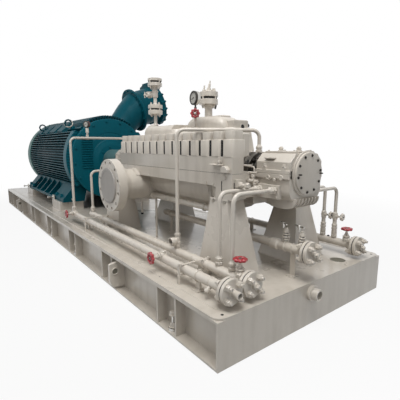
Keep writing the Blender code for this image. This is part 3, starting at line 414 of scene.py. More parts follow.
class Shells:
    """Closed shells gathered into one mesh, each with its place in the list of finishes."""

    def __init__(self):
        self.verts, self.faces, self.slots = [], [], []

    def rings(self, rings, slot=0, closed=False):
        """Closed surface through rings of points; one point makes a tip."""
        starts = []
        for points in rings:
            starts.append((len(self.verts), len(points)))
            self.verts.extend(Vector(p) for p in points)
        pairs = list(zip(starts, starts[1:])) + ([(starts[-1], starts[0])] if closed else [])
        before = len(self.faces)
        for (a, na), (b, nb) in pairs:
            count = max(na, nb)
            for i in range(count):
                j = (i + 1) % count
                if na == 1:
                    self.faces.append((a, b + i, b + j))
                elif nb == 1:
                    self.faces.append((a + i, a + j, b))
                else:
                    self.faces.append((a + i, a + j, b + j, b + i))
        if not closed:
            for first, count in (starts[0], starts[-1]):
                if count > 2:
                    self.faces.append(tuple(range(first, first + count)))
        self.slots += [slot] * (len(self.faces) - before)
        return self

    def lathe(self, start, direction, profile, sides=64, slot=0, closed=False):
        d, u, v = frame_of(direction)
        start = Vector(start)
        rings = []
        for along, radius in profile:
            centre = start + d * along
            if radius == 0:
                rings.append([centre])
            else:
                rings.append([centre + (u * math.cos(t) + v * math.sin(t)) * radius
                              for t in (math.tau * i / sides for i in range(sides))])
        return self.rings(rings, slot, closed)

    def rod(self, a, b, radius, sides=24, slot=0):
        a, b = Vector(a), Vector(b)
        return self.lathe(a, b - a, [(0, radius), ((b - a).length, radius)], sides, slot)

    def hexagon(self, start, direction, corner, height, slot=0):
        return self.lathe(start, direction, [(0, corner * 0.9), (height * 0.12, corner), (height * 0.86, corner),
                                             (height, corner * 0.86)], 6, slot)

    def torus(self, centre, direction, radius, thickness, sides=48, turns=12, slot=0, lobes=0, depth=0.0):
        """Ring about an axis, with lobes round its rim if asked."""
        d, u, v = frame_of(direction)
        centre = Vector(centre)
        rings = []
        for i in range(sides):
            t = math.tau * i / sides
            out = u * math.cos(t) + v * math.sin(t)
            reach = radius + depth * math.cos(lobes * t)
            rings.append([centre + out * (reach + thickness * math.cos(a)) + d * (thickness * math.sin(a))
                          for a in (math.tau * k / turns for k in range(turns))])
        return self.rings(rings, slot, closed=True)

    def tube(self, points, radius, bend=0.05, sides=18, steps=8, slot=0):
        """Round pipe along points with rounded corners."""
        points = [Vector(p) for p in points]
        path = [points[0]]
        for before, corner, after in zip(points, points[1:], points[2:]):
            into, out = (corner - before).normalized(), (after - corner).normalized()
            angle = into.angle(out)
            cut = bend * math.tan(angle / 2)
            first, last = corner - into * cut, corner + out * cut
            hub = corner + (out - into).normalized() * (bend / math.cos(angle / 2))
            a, b = (first - hub).normalized(), (last - hub).normalized()
            path += [hub + a.slerp(b, k / steps) * bend for k in range(steps + 1)]
        path.append(points[-1])
        rings, side = [], None
        for i, point in enumerate(path):
            ahead = (path[min(i + 1, len(path) - 1)] - path[max(i - 1, 0)]).normalized()
            side = frame_of(ahead)[1] if side is None else side
            side = (side - ahead * side.dot(ahead)).normalized()
            other = ahead.cross(side)
            rings.append([point + (side * math.cos(t) + other * math.sin(t)) * radius
                          for t in (math.tau * k / sides for k in range(sides))])
        return self.rings(rings, slot)

    def block(self, low, high, slot=0):
        x0, y0, z0, x1, y1, z1 = *low, *high
        foot = [(x0, y0, z0), (x1, y0, z0), (x1, y1, z0), (x0, y1, z0)]
        return self.rings([foot, [(x, y, z1) for x, y, _ in foot]], slot)

    def prism(self, outline, axis, low, high, slot=0):
        """Outline of pairs, drawn out along X, Y or Z."""
        order = {'X': lambda a, b, c: (c, a, b), 'Y': lambda a, b, c: (a, c, b), 'Z': lambda a, b, c: (a, b, c)}
        return self.rings([[order[axis](a, b, c) for a, b in outline] for c in (low, high)], slot)

    def take(self, node, slot=0):
        """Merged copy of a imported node, with its flat faces whole again."""
        bm = bmesh.new()
        bm.from_mesh(frame["nodes"][node].data)
        bmesh.ops.remove_doubles(bm, verts=bm.verts, dist=0.00002)
        bmesh.ops.dissolve_limit(bm, angle_limit=0.0008, verts=bm.verts, edges=bm.edges)
        bm.verts.index_update()
        base = len(self.verts)
        self.verts += [v.co.copy() for v in bm.verts]
        self.faces += [tuple(base + v.index for v in f.verts) for f in bm.faces]
        self.slots += [slot] * len(bm.faces)
        bm.free()
        return self

    def mesh(self, name):
        mesh = bpy.data.meshes.new(name)
        mesh.from_pydata(self.verts, [], self.faces)
        mesh.polygons.foreach_set("material_index", self.slots)
        bm = bmesh.new()
        bm.from_mesh(mesh)
        bmesh.ops.recalc_face_normals(bm, faces=bm.faces)
        bm.to_mesh(mesh)
        bm.free()
        return mesh

    def made(self, name, *finishes, body="machine", stands_for=(), slot=None, edge=0.0, smooth=38, cut=None):
        """Finished piece on its body; edge rounds the corners and cut is taken out of it first."""
        mesh = self.mesh(name)
        obj = bpy.data.objects.new(name, mesh)
        bpy.context.scene.collection.objects.link(obj)
        for word in finishes:
            mesh.materials.append(finish[word])
        if cut:
            tool = bpy.data.objects.new("cutter", cut.mesh("cutter"))
            bpy.context.scene.collection.objects.link(tool)
            modifier = obj.modifiers.new("cut", 'BOOLEAN')
            modifier.operation, modifier.solver, modifier.object = 'DIFFERENCE', 'EXACT', tool
            modifier.use_self = True
            graph = bpy.context.evaluated_depsgraph_get()
            obj_mesh = bpy.data.meshes.new_from_object(obj.evaluated_get(graph), depsgraph=graph)
            obj.modifiers.clear()
            obj.data = mesh = obj_mesh
            bpy.data.objects.remove(tool)
        if not mesh.polygons:
            raise RuntimeError(f"{name} came out empty")
        mesh.shade_smooth()
        mesh.set_sharp_from_angle(angle=math.radians(smooth))
        if edge:
            modifier = obj.modifiers.new("edges", 'BEVEL')
            modifier.width, modifier.segments = edge, 2
            modifier.limit_method, modifier.angle_limit = 'ANGLE', math.radians(smooth)
            modifier.harden_normals = True
        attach(obj, body)
        if stands_for:
            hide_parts(*stands_for)
        return obj


def coat(node, word):
    """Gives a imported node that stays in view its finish."""
    mesh = frame["nodes"][node].data
    mesh.materials.clear()
    mesh.materials.append(finish[word])


def section(x, half, low, high, corner, lean=0.0, steps=10):
    """Ring across the shaft, straight at its low end and round at the shoulders of its high end."""
    turn = 1 if high > low else -1
    points = [(-half, low)]
    for side, first in ((-1, 180), (1, 90)):
        for k in range(steps + 1):
            t = math.radians(first - 90 * k / steps)
            points.append((side * (half - corner) + corner * math.cos(t),
                           high - turn * corner * (1 - math.sin(t))))
    points.append((half, low))
    return [at(x - lean * (z - low), y, z) for y, z in points]


# Stage


def lay_stage():
    scene = bpy.context.scene
    scene.view_settings.view_transform = 'Standard'

    camera = bpy.data.objects.new("camera", bpy.data.cameras.new("camera"))
    scene.collection.objects.link(camera)
    camera.location = (4.380, -1.851, 1.140)
    camera.rotation_euler = (math.radians(80.74), 0, math.radians(52.36))
    camera.data.lens, camera.data.sensor_width = 30.0, 36.0
    camera.data.clip_end = 200
    scene.camera = camera

    floor = bpy.data.objects.new("floor", bpy.data.meshes.new("floor"))
    floor.data.from_pydata([(-60, -60, 0), (60, -60, 0), (60, 60, 0), (-60, 60, 0)], [], [(0, 1, 2, 3)])
    scene.collection.objects.link(floor)
    made, tree, out = shader_of("pale_studio_floor")
    out.inputs["Base Color"].default_value = (0.42, 0.42, 0.41, 1)
    out.inputs["Roughness"].default_value = 0.7
    rays = put(tree, "ShaderNodeLightPath")
    seen = put(tree, "ShaderNodeMath", {0: rays.outputs["Is Camera Ray"], 1: rays.outputs["Is Glossy Ray"]},
               operation='MAXIMUM')
    seen = put(tree, "ShaderNodeMath", {0: seen.outputs[0], 1: rays.outputs["Is Transmission Ray"]},
               operation='MAXIMUM')
    where = put(tree, "ShaderNodeTexCoord").outputs["Object"]
    spread = put(tree, "ShaderNodeVectorMath", {0: where}, operation='LENGTH')
    far = put(tree, "ShaderNodeMapRange", {0: spread.outputs["Value"], 1: 3.2, 2: 6.0, 3: 0.92, 4: 1.0})
    share = put(tree, "ShaderNodeMath", {0: seen.outputs[0], 1: far.outputs[0]}, operation='MULTIPLY')
    white = put(tree, "ShaderNodeEmission", {"Color": (1, 1, 1, 1), "Strength": 1.0})
    both = put(tree, "ShaderNodeMixShader", {0: share.outputs[0], 1: out.outputs[0], 2: white.outputs[0]})
    end = tree.nodes["Material Output"]
    tree.links.new(both.outputs[0], end.inputs["Surface"])
    floor.data.materials.append(made)

    world = bpy.data.worlds.new("studio")
    scene.world = world
    world.use_nodes = True
    tree = world.node_tree
    rays = put(tree, "ShaderNodeLightPath")
    seen = put(tree, "ShaderNodeMath", {0: rays.outputs["Is Camera Ray"], 1: rays.outputs["Is Glossy Ray"]},
               operation='MAXIMUM')
    seen = put(tree, "ShaderNodeMath", {0: seen.outputs[0], 1: rays.outputs["Is Transmission Ray"]},
               operation='MAXIMUM')
    soft = put(tree, "ShaderNodeBackground", {"Color": (0.94, 0.97, 1.0, 1), "Strength": 0.17})
    white = put(tree, "ShaderNodeBackground", {"Color": (1, 1, 1, 1), "Strength": 1.0})
    both = put(tree, "ShaderNodeMixShader", {0: seen.outputs[0], 1: soft.outputs[0], 2: white.outputs[0]})
    tree.links.new(both.outputs[0], tree.nodes["World Output"].inputs["Surface"])

    for name, place, aim, size, power, reach, tint in (
            ("key", (-0.5, -5.0, 4.2), (0.8, 0, 0.6), 3.0, 72, 180, (1.0, 0.985, 0.96)),
            ("top", (3.6, -1.3, 5.4), (2.3, -0.2, 0.4), 3.0, 78, 95, (1.0, 0.99, 0.97)),
            ("front", (7.2, -1.6, 3.4), (2.6, 0, 0.7), 2.5, 34, 180, (0.97, 0.98, 1.0))):
        lamp = bpy.data.lights.new(name, 'AREA')
        lamp.energy, lamp.size, lamp.color, lamp.spread = power, size, tint, math.radians(reach)
        obj = bpy.data.objects.new(name, lamp)
        scene.collection.objects.link(obj)
        obj.location = place
        obj.rotation_euler = (Vector(aim) - Vector(place)).to_track_quat('-Z', 'Y').to_euler()


# Skid


def dress_skid():
    coat("skid_frame", "plate")
    coat("deck_plate", "plate")
    posts = [2.730 - 0.930 * k for k in range(7)]
    screws, heads = Shells(), []
    for side in (-1, 1):
        for x in posts:
            foot = at(x + 0.035, side * 0.815, -0.2710)
            screws.rod(foot, foot + Vector((0, 0, 0.105)), 0.0095, 16)
            screws.lathe(foot, (0, 0, 1), [(0, 0.030), (0.018, 0.028), (0.020, 0.014)], 24)
            heads += [(foot + Vector((0, 0, 0.100)), (0, 0, 1)), (foot + Vector((0, 0, 0.022)), (0, 0, 1))]
    screws.made("levelling_screws", "steel")
    fasteners("levelling_screw_heads", heads, 0.036, "tube", height=0.024)

    # Lifting holes in the lugs, lined with rings.
    rings = Shells()
    for side in (-1, 1):
        for x in (-1.980, 1.980):
            for face in (-0.0155, 0.0155):
                rings.torus(at(x + face, side * 0.855, -0.120), (1, 0, 0), 0.026, 0.0045, 36, 10)
                rings.lathe(at(x + face, side * 0.855, -0.120), (face, 0, 0), [(-0.002, 0.024), (0.0004, 0.024)],
                            32, slot=1)
    rings.made("lifting_lug_holes", "plate", "well")

    # Fillet welds round the feet of the pedestals and the pads.
    welds = Shells()
    feet = [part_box(f"pedestal_{end}_{side}") for end in ("de", "nde") for side in ("near", "far")]
    corners = [(low.x, low.y, high.x, high.y) for low, high in feet]
    for x0 in (-2.250, -0.580):
        for side in (-1, 1):
            y0, y1 = sorted((side * 0.360, side * 0.665))
            corners.append((x0, y0, x0 + 0.400, y1))
    for x0, y0, x1, y1 in corners:
        loop = [at(x, y, 0.0015) for x, y in ((x0, y0), (x1, y0), (x1, y1), (x0, y1))]
        for a, b in zip(loop, loop[1:] + loop[:1]):
            welds.rod(a, b, 0.0055, 8)
    # A rolled lip runs along both long edges of the deck, as the photo shows beside the webs.
    for side in (-1, 1):
        welds.rod(at(-half_x + 0.004, side * 0.780, 0.0008), at(half_x - 0.100, side * 0.780, 0.0008),
                  0.0035, 8)
    well = at(half_x - 0.124, 0.450, 0.0008)
    welds.torus(well, (0, 0, 1), 0.0590, 0.0042, 64, 10)
    welds.lathe(well, (0, 0, 1), [(0, 0.0575), (0.0012, 0.0575)], 56, slot=1)
    welds.made("weld_beads", "plate", "well")

    holes = Shells()
    for x, y in ((3.190, -0.790), (3.190, 0.790), (1.660, -0.640), (0.950, -0.640), (0.300, -0.640),
                 (2.560, -0.780), (-0.900, -0.640), (1.660, 0.740), (-1.500, 0.740)):
        holes.lathe(at(x, y, -0.003), (0, 0, 1), [(0, 0.0085), (0.0034, 0.0085)], 20)
    holes.made("deck_drain_holes", "dark")

    stub = at(half_x + 0.0003, -0.065, -0.070)
    thread = [(0.0625 - 0.0022 * k, 0.0376 + (0.0012 if k % 2 else 0.0)) for k in range(12)]
    profile = [(0, 0.0300), (0, 0.0520), (0.0200, 0.0520), (0.0220, 0.0500), (0.0220, 0.0380)]
    profile += list(reversed(thread)) + [(0.0625, 0.0350), (0.0610, 0.0262), (0.0230, 0.0255)]
    Shells().lathe(stub, (1, 0, 0), profile, 64, closed=True).lathe(
        stub, (1, 0, 0), [(0.010, 0.0300), (0.0235, 0.0300)], 48, slot=1).made(
        "threaded_drain_stub", "tube", "dark", stands_for=["drain_stub"], slot="painted_white")


# Motor


def arc_band(shells, x0, x1, inner, outer, first, last, steps=24):
    """Part of a ring round the shaft line, between two angles from the level on the +Y side."""
    rings = []
    for k in range(steps + 1):
        t = math.radians(first + (last - first) * k / steps)
        y, z = math.cos(t), math.sin(t)
        rings.append([at(x0, inner * y, shaft + inner * z), at(x0, outer * y, shaft + outer * z),
                      at(x1, outer * y, shaft + outer * z), at(x1, inner * y, shaft + inner * z)])
    return shells.rings(rings)


def dress_motor():
    # The frame wears the darker teal, which is painted shade for the gaps between its fins.
    coat("motor_frame", "fins")
    line = at(-2.5, 0, shaft)

    cheeks = Shells()
    for first, last in ((-38, 40), (140, 218)):
        arc_band(cheeks, -0.205, -0.0605, 0.500, 0.5865, first, last)
    cheeks.made("frame_end_cheeks", "motor", edge=0.012)

    # Raised lands on the shoulders, between the level fins and the upright ones.
    lands = Shells()
    for side in (-1, 1):
        for x, long in ((-2.140, 0.300), (-1.740, 0.300), (-1.340, 0.340), (-0.900, 0.300)):
            if side > 0 and x > -1.0:
                continue
            rings = []
            for share, radius, wide in ((0, 0.520, 0.100), (0.12, 0.602, 0.088), (0.80, 0.588, 0.088),
                                        (1, 0.520, 0.100)):
                t = math.radians(48)
                out, across = (side * math.cos(t), math.sin(t)), (-side * math.sin(t), math.cos(t))
                ring = []
                for level, half in ((0.500, wide), (radius, wide)):
                    for way in ((-1, 1) if level == 0.500 else (1, -1)):
                        ring.append(at(x + long * share, out[0] * level + across[0] * half * way,
                                       shaft + out[1] * level + across[1] * half * way))
                rings.append(ring)
            lands.rings(rings)
    # The lands wear the same darker teal, painted shade.
    lands.made("shoulder_lands", "fins", edge=0.008)

    for name, word, spots in (("lifting_eyes", "motor", ((1, -1.020),)),
                              ("lifting_shackle", "tube", ((-1, -0.400),))):
        eyes = Shells()
        for side, x in spots:
            t = math.radians(48)
            out = Vector((0, side * math.cos(t), math.sin(t)))
            centre = at(x, 0, shaft) + out * 0.640
            eyes.torus(centre, (1, 0.35 * side, 0.35), 0.052, 0.0085, 48, 14)
            eyes.lathe(at(x, 0, shaft) + out * 0.520, out, [(0, 0.040), (0.055, 0.036), (0.070, 0.022)], 32, slot=1)
            eyes.rod(centre - Vector((0.052, 0, 0)), centre + Vector((0.052, 0, 0)), 0.0095, 16, slot=1)
        eyes.made(name, word, "motor")

    face = -0.0597
    profile = [(0, 0.030), (0, 0.536), (0.050, 0.536), (0.0575, 0.530), (0.0597, 0.522), (0.0597, 0.352),
               (0.0560, 0.347), (0.0560, 0.341), (0.0597, 0.336), (0.0597, 0.268), (0.0680, 0.256), (0.0690, 0.244),
               (0.0700, 0.236), (0.0885, 0.197), (0.0897, 0.188), (0.0897, 0.030)]
    Shells().lathe((face, 0, deck + shaft), (1, 0, 0), profile, 128, closed=True).made(
        "drive_end_shield", "motor", stands_for=["motor_drive_shield"], slot="painted_teal", smooth=30)
    hood = Shells()
    for side in (-1, 1):
        y0, y1 = sorted((side * 0.258, side * 0.402))
        hood.prism([(-0.003, -0.006), (0.014, -0.006), (0.0155, -0.003), (0.001, 0.009), (-0.003, 0.009)], 'Y', y0, y1)
    repeated("louvre_hoods", hood, 13, start=at(0, 0, 0.574), step=(0, 0, 0.0305), finish_name="motor")
    fasteners("shield_bolts", [(p, (1, 0, 0)) for p in around((-0.001, 0, deck + shaft), (1, 0, 0), 0.496, 16, 0.1)],
              0.024, "motor", seed=5)
    fasteners("bearing_cap_bolts", [(p, (1, 0, 0)) for p in
                                    around((0.0290, 0, deck + shaft), (1, 0, 0), 0.162, 8, 0.2)], 0.020, "motor")
    dress_cowl(line)
    dress_feet()
    dress_terminal()


def dress_cowl(line):
    profile = [(0.050, 0.440), (0, 0.452), (0.0015, 0.468), (0.006, 0.492), (0.016, 0.522), (0.034, 0.552),
               (0.058, 0.573), (0.088, 0.585), (0.120, 0.589), (0.270, 0.589), (0.274, 0.5898), (0.290, 0.5898),
               (0.2997, 0.586), (0.2997, 0.560)]
    Shells().lathe(line, (1, 0, 0), profile + [(0.120, 0.560), (0.060, 0.500)], 128, closed=True).made(
        "fan_cowl", "cowl", stands_for=["motor_fan_cowl"], slot="painted_cowl", smooth=32)
    Shells().lathe(line + Vector((0.040, 0, 0)), (1, 0, 0), [(0, 0.470), (0.012, 0.470)], 64).made(
        "fan_shadow_plate", "dark")
    grille = Shells()
    for k in range(11):
        grille.torus(line + Vector((0.012, 0, 0)), (1, 0, 0), 0.045 + 0.040 * k, 0.0055, 96, 8)
    grille.lathe(line + Vector((0.004, 0, 0)), (1, 0, 0), [(0, 0.036), (0.003, 0.040), (0.018, 0.040)], 32)
    grille.made("air_inlet_rings", "cowl")
    bar = Shells().rod((0.019, 0, 0.036), (0.019, 0, 0.452), 0.006, 8)
    repeated("air_inlet_bars", bar, 12, start=line, turn=(math.tau / 12, 0, 0), finish_name="cowl")
    fasteners("cowl_screws", [(p, p - Vector((p.x, 0, deck + shaft))) for p in
                              around(line + Vector((0.282, 0, 0)), (1, 0, 0), 0.589, 8, math.pi / 8)], 0.018,
              "cowl", height=0.008)


def dress_feet():
    """Hold-down bolts, jacking screws and their brackets at the motor's four pads."""
    brackets, bolts, screws = Shells(), [], []
    for x0 in (-2.250, -0.580):
        for side in (-1, 1):
            for x in (x0 + 0.090, x0 + 0.310):
                bolts.append((at(x, side * 0.610, 0.172), (0, side * 0.25, 1)))
            y0, y1 = sorted((side * 0.652, side * 0.664))
            x = x0 + 0.060
            brackets.block(at(x - 0.035, y0, 0.112), at(x + 0.035, y1, 0.178))
            brackets.rod(at(x, side * 0.640, 0.150), at(x, side * 0.735, 0.150), 0.0085, 14, slot=1)
            screws += [(at(x, side * 0.664, 0.150), (0, side, 0)), (at(x, side * 0.722, 0.150), (0, side, 0))]
            x = x0 + (0.400 if x0 > -1 else 0.0)
            way = 1 if x0 > -1 else -1
            brackets.block(at(min(x, x + way * 0.012), side * 0.520 - 0.035, 0.060),
                           at(max(x, x + way * 0.012), side * 0.520 + 0.035, 0.185))
            brackets.rod(at(x - way * 0.010, side * 0.520, 0.150), at(x + way * 0.085, side * 0.520, 0.150), 0.0085, 14,
                         slot=1)
            screws += [(at(x + way * 0.012, side * 0.520, 0.150), (way, 0, 0)),
                       (at(x + way * 0.073, side * 0.520, 0.150), (way, 0, 0))]
            brackets.lathe(at(x0 + 0.350, side * 0.555, 0.220), (0, side * 0.75, 0.66),
                           [(-0.004, 0.026), (0.004, 0.026)], 28, slot=2)
    brackets.made("motor_jacking_brackets", "plate", "steel", "dark", edge=0.002)
    fasteners("motor_jacking_nuts", screws, 0.026, "steel", height=0.014)
    fasteners("motor_hold_down_bolts", bolts, 0.046, "motor", stud=0.012)


def dress_terminal():
    lean = math.radians(20)
    axis = Vector((0, math.cos(lean), math.sin(lean)))
    dish = at(-0.500, 0.599, 1.392)
    foot = at(-0.500, 0.454 * 0.590, shaft + 0.503 * 0.590)
    rings = []
    keys = ((0, 48, 0.2125), (0.45, 37, 0.2065), (0.75, 28, 0.2310), (1, 20, 0.2560))
    for k in range(19):
        share = k / 18
        for (s0, d0, r0), (s1, d1, r1) in zip(keys, keys[1:]):
            if share <= s1:
                f = (share - s0) / (s1 - s0)
                f = f * f * (3 - 2 * f)
                degrees, radius = d0 + (d1 - d0) * f, r0 + (r1 - r0) * f
                break
        t = math.radians(degrees)
        up = Vector((0, -math.sin(t), math.cos(t)))
        centre = foot.lerp(dish - axis * 0.0005, share) + up * 0.020 * math.sin(math.pi * share)
        rings.append([centre + (Vector((1, 0, 0)) * math.cos(a) + up * math.sin(a)) * radius
                      for a in (math.tau * i / 72 for i in range(72))])
    Shells().rings(rings).made("terminal_neck_casting", "motor", stands_for=["terminal_neck"],
                               slot="painted_teal")
    profile = [(0, 0.323), (0.002, 0.325), (0.027, 0.325), (0.031, 0.321), (0.037, 0.296), (0.060, 0.270),
               (0.078, 0.265), (0.150, 0.2648), (0.154, 0.268), (0.166, 0.268), (0.170, 0.2648), (0.312, 0.265),
               (0.326, 0.270), (0.331, 0.284), (0.332, 0.322), (0.334, 0.325), (0.363, 0.325), (0.365, 0.322)]
    Shells().lathe(dish, axis, profile, 96).made("terminal_drum", "motor", stands_for=["terminal_box"],
                                                 slot="painted_teal", smooth=32)
    lid = dish + axis * 0.3655
    ears = Shells()
    ears.lathe(lid, axis, [(0, 0.318), (0.003, 0.324), (0.038, 0.324), (0.041, 0.321), (0.050, 0.262),
                           (0.070, 0.232), (0.070, 0)], 96)
    ears.made("terminal_lid", "motor", stands_for=["terminal_cover"], slot="painted_teal", smooth=32)
    lugs = Shells()
    for p in around(lid, axis, 0.316, 18):
        lugs.lathe(p - axis * 0.033, axis, [(0, 0.020), (0.003, 0.023), (0.072, 0.023), (0.075, 0.020)], 20)
    lugs.made("terminal_lid_lugs", "motor")
    fasteners("terminal_lid_bolts", [(p + axis * 0.042, axis) for p in around(lid, axis, 0.316, 18)], 0.024, "motor")
    fasteners("terminal_base_bolts", [(p - axis * 0.0, -axis) for p in around(dish, axis, 0.298, 16, 0.1)], 0.020,
              "motor")
    # Cable entry plate under the drum, blanked.
    down = Vector((0, math.sin(lean), -math.cos(lean)))
    plate = dish + axis * 0.240 + down * 0.258
    Shells().lathe(plate, down, [(0, 0.060), (0.014, 0.060), (0.016, 0.056), (0.016, 0.034), (0.030, 0.030),
                                 (0.030, 0)], 40).made("cable_entry_blank", "motor")


def dress_coupling():
    coat("rotor", "gland")
    start = at(0.0306, 0, shaft)
    reach = 0.4441
    profile = [(0, 0.1220), (0, 0.1278), (0.018, 0.1278), (0.020, 0.1262), (reach - 0.020, 0.1262),
               (reach - 0.018, 0.1278), (reach, 0.1278), (reach, 0.1220)]
    Shells().lathe(start, (1, 0, 0), profile, 96, closed=True).made(
        "guard_tube", "guard", stands_for=["coupling_guard"], slot="painted_teal")
    seam = Shells()
    for side in (-1, 1):
        y0, y1 = sorted((side * 0.1255, side * 0.1500))
        seam.block(at(0.050, y0, shaft - 0.0035), at(0.455, y1, shaft + 0.0035))
    seam.made("guard_seam", "guard", edge=0.001)
    fasteners("guard_seam_screws", [(at(0.090 + 0.108 * k, side * 0.139, shaft + 0.0035), (0, 0, 1))
                                    for k in range(4) for side in (-1, 1)], 0.013, "bolt", height=0.006)


# Casing


def plan(grow=0.0):
    """Outline of the casing joint from above, moved outwards by a given amount."""
    near = [(case_de, -0.420), (2.857, -0.420), (2.857, -0.325), (2.680, -0.200), (2.620, -0.150)]
    far = [(2.620, 0.150), (2.680, 0.200), (2.820, 0.262), (2.820, 0.335), (2.757, 0.420), (case_de, 0.420)]
    motor_end = [(1.020, 0.300), (0.980, 0.150), (0.980, -0.150), (1.020, -0.300)]
    points = near + far + motor_end
    moved = []
    for i, (x, y) in enumerate(points):
        (ax, ay), (bx, by) = points[i - 1], points[(i + 1) % len(points)]
        n = Vector((by - ay, ax - bx)).normalized()
        moved.append((x + n.x * grow, y + n.y * grow))
    return moved


def dress_casing(sizes):
    away = Shells()
    for side, x in ((-1, 1.510), (1, 2.300)):
        y0, y1 = sorted((side * 0.455, side * 0.720))
        away.block(at(x - 0.300, y0, nozzle_z - 0.300), at(x + 0.300, y1, nozzle_z + 0.300))
        y0, y1 = sorted((side * 0.335, side * 0.460))
        away.block(at(x - 0.220, y0, nozzle_z - 0.250), at(x + 0.220, y1, split_bottom - 0.001))
    Shells().take("lower_casing").made("lower_casing_casting", "casting", stands_for=["lower_casing"],
                                       slot="painted_white", cut=away, smooth=30)
    trimmed = Shells().block(at(1.190, -0.460, split_top + 0.0002), at(2.900, -0.3015, 0.960))
    trimmed.block(at(0.900, -0.3005, 0.9530), at(1.4970, 0.3100, 1.200))
    trimmed.block(at(1.9570, -0.3000, 0.9930), at(2.6500, 0.3100, 1.200))
    Shells().take("upper_casing").made("upper_casing_casting", "casting", stands_for=["upper_casing"],
                                       slot="painted_white", cut=trimmed, smooth=32)

    # The joint shows as a thin dark line; a cast step runs above and below it.
    joint = Shells().prism(plan(0.0005), 'Z', deck + shaft - 0.0008, deck + shaft + 0.0008)
    joint.made("casing_joint_gasket", "gasket")

    # Each stud stands in a squared boss with its cap nut on top, and the slots between are filled with black blocks as
    # painted shade.
    column = Shells()
    for low, high, half, reach, corner in ((0, 0.1090, 0.0515, 0.0610, 0.026), (0.1088, 0.1640, 0.0440, 0.0520, 0.030)):
        outline = [(sx * (half - corner) + corner * math.cos(t), sy * (reach - corner) + corner * math.sin(t))
                   for sx, sy, first in ((1, 1, 0), (-1, 1, 90), (-1, -1, 180), (1, -1, 270))
                   for t in (math.radians(first + 15 * k) for k in range(7))]
        rings = [[(x * f, y * f, z) for x, y in outline]
                 for z, f in ((low, 1), (high - 0.004, 1), (high - 0.001, 0.975), (high, 0.94))]
        column.rings(rings)
    repeated("stud_columns", column, 14, start=at(1.278, -0.362, split_top - 0.0005), step=(1.527 / 13, 0, 0))
    painted_slot_shade = Shells().block((-0.008, -0.052, 0), (0.008, 0.040, 0.106))
    repeated("column_slot_painted_shade", painted_slot_shade, 13, start=at(1.278 + 1.527 / 26, -0.362, split_top), step=(1.527 / 13, 0, 0),
             finish_name="dark")
    end_boss = Shells().block(at(2.790, -0.325, split_top - 0.001), at(2.848, -0.262, 0.9350))
    end_boss.block(at(1.200, -0.330, split_top - 0.001), at(2.800, -0.2960, 0.9400))
    end_boss.made("column_backing", "casting", edge=0.008)
    low_nut = Shells().lathe((0, 0, 0), (0, 0, 1), [(0, 0.0522), (0.0140, 0.0522), (0.0186, 0.0480), (0.0186, 0)], 40)
    repeated("low_stud_nuts", low_nut, 13, start=at(1.278, 0.362, split_top - 0.0003), step=(1.427 / 12, 0, 0))

    reach, base = 0.104, 0.976
    dome = [(-0.024, reach + 0.008), (-0.018, reach + 0.007), (-0.012, reach)]
    dome += [(reach * math.sin(math.radians(t)), reach * math.cos(math.radians(t))) for t in range(0, 79, 6)]
    Shells().lathe(at(1.175, 0, base), (0, 0, 1), dome + [(reach, 0.0150)], 96).made("suction_dome", "casting")
    flat = Shells().block(at(1.3100, -0.1580, 0.9400), at(1.7300, 0.1580, 1.0290))
    flat.block(at(1.7000, -0.1600, 0.9400), at(1.9700, 0.1600, 1.0325))
    flat.made("casing_flat_block", "casting", edge=0.007)

    rings = []
    for x, near, far, high, corner in (
            (1.930, -0.120, 0.060, 1.018, 0.040), (1.950, -0.132, 0.070, 1.030, 0.044),
            (1.972, -0.140, 0.076, 1.048, 0.046), (1.996, -0.146, 0.080, 1.068, 0.048),
            (2.024, -0.150, 0.084, 1.082, 0.050), (2.060, -0.152, 0.086, 1.090, 0.052),
            (2.110, -0.153, 0.088, 1.0925, 0.052), (2.300, -0.153, 0.084, 1.0850, 0.054),
            (2.350, -0.151, 0.078, 1.0810, 0.054), (2.385, -0.146, 0.070, 1.0730, 0.052),
            (2.410, -0.137, 0.060, 1.0580, 0.048), (2.428, -0.124, 0.048, 1.0370, 0.042),
            (2.440, -0.108, 0.036, 1.0120, 0.036), (2.446, -0.090, 0.022, 0.9890, 0.030)):
        shift = Vector((0, (near + far) / 2, 0))
        rings.append([p + shift for p in section(x, (far - near) / 2, 0.955, high, corner)])
    Shells().rings(rings).made("crossover_hump", "casting", smooth=50)
    top = Shells().block(at(2.1950, -0.0700, 1.0600), at(2.3550, 0.0250, 1.0945))
    top.block(at(2.3000, -0.0850, 0.9700), at(2.5055, 0.0720, 1.0495))
    top.made("crossover_pad_and_shoulder", "casting", edge=0.009)
    boss = Shells().lathe(at(2.180, -0.2007, 0.880), (0, 0, 1), [(0, 0.0240), (0.1240, 0.0240)], 36)
    boss.lathe(at(2.100, 0, 1.060), (0, 0, 1), [(0, 0.0480), (0.0300, 0.0480), (0.0340, 0.0440)], 48)
    boss.made("gauge_and_vent_bosses", "casting")

    # Threaded lifting hole in the shoulder's end, a bolt beside it, and the ring round the gland.
    marks = Shells()
    marks.lathe(at(2.5142, 0, 0.998), (1, 0, 0.25), [(0, 0.0190), (0.0012, 0.0190)], 32, slot=1)
    marks.torus(at(2.5142, 0, 0.998), (1, 0, 0.25), 0.0210, 0.0035, 36, 8)
    marks.rod(at(2.470, 0.070, 0.998), at(2.470, 0.106, 1.018), 0.0095, 18, slot=1)
    marks.hexagon(at(2.470, 0.094, 1.011), (0, 0.87, 0.48), 0.0160, 0.012, slot=1)
    marks.lathe(at(2.540, 0, shaft), (1, 0, 0), [(0, 0.1280), (0, 0.1385), (0.070, 0.1385), (0.078, 0.1350),
                                                (0.0785, 0.1280)], 96, closed=True)
    marks.made("shoulder_lifting_points", "casting", "dark")

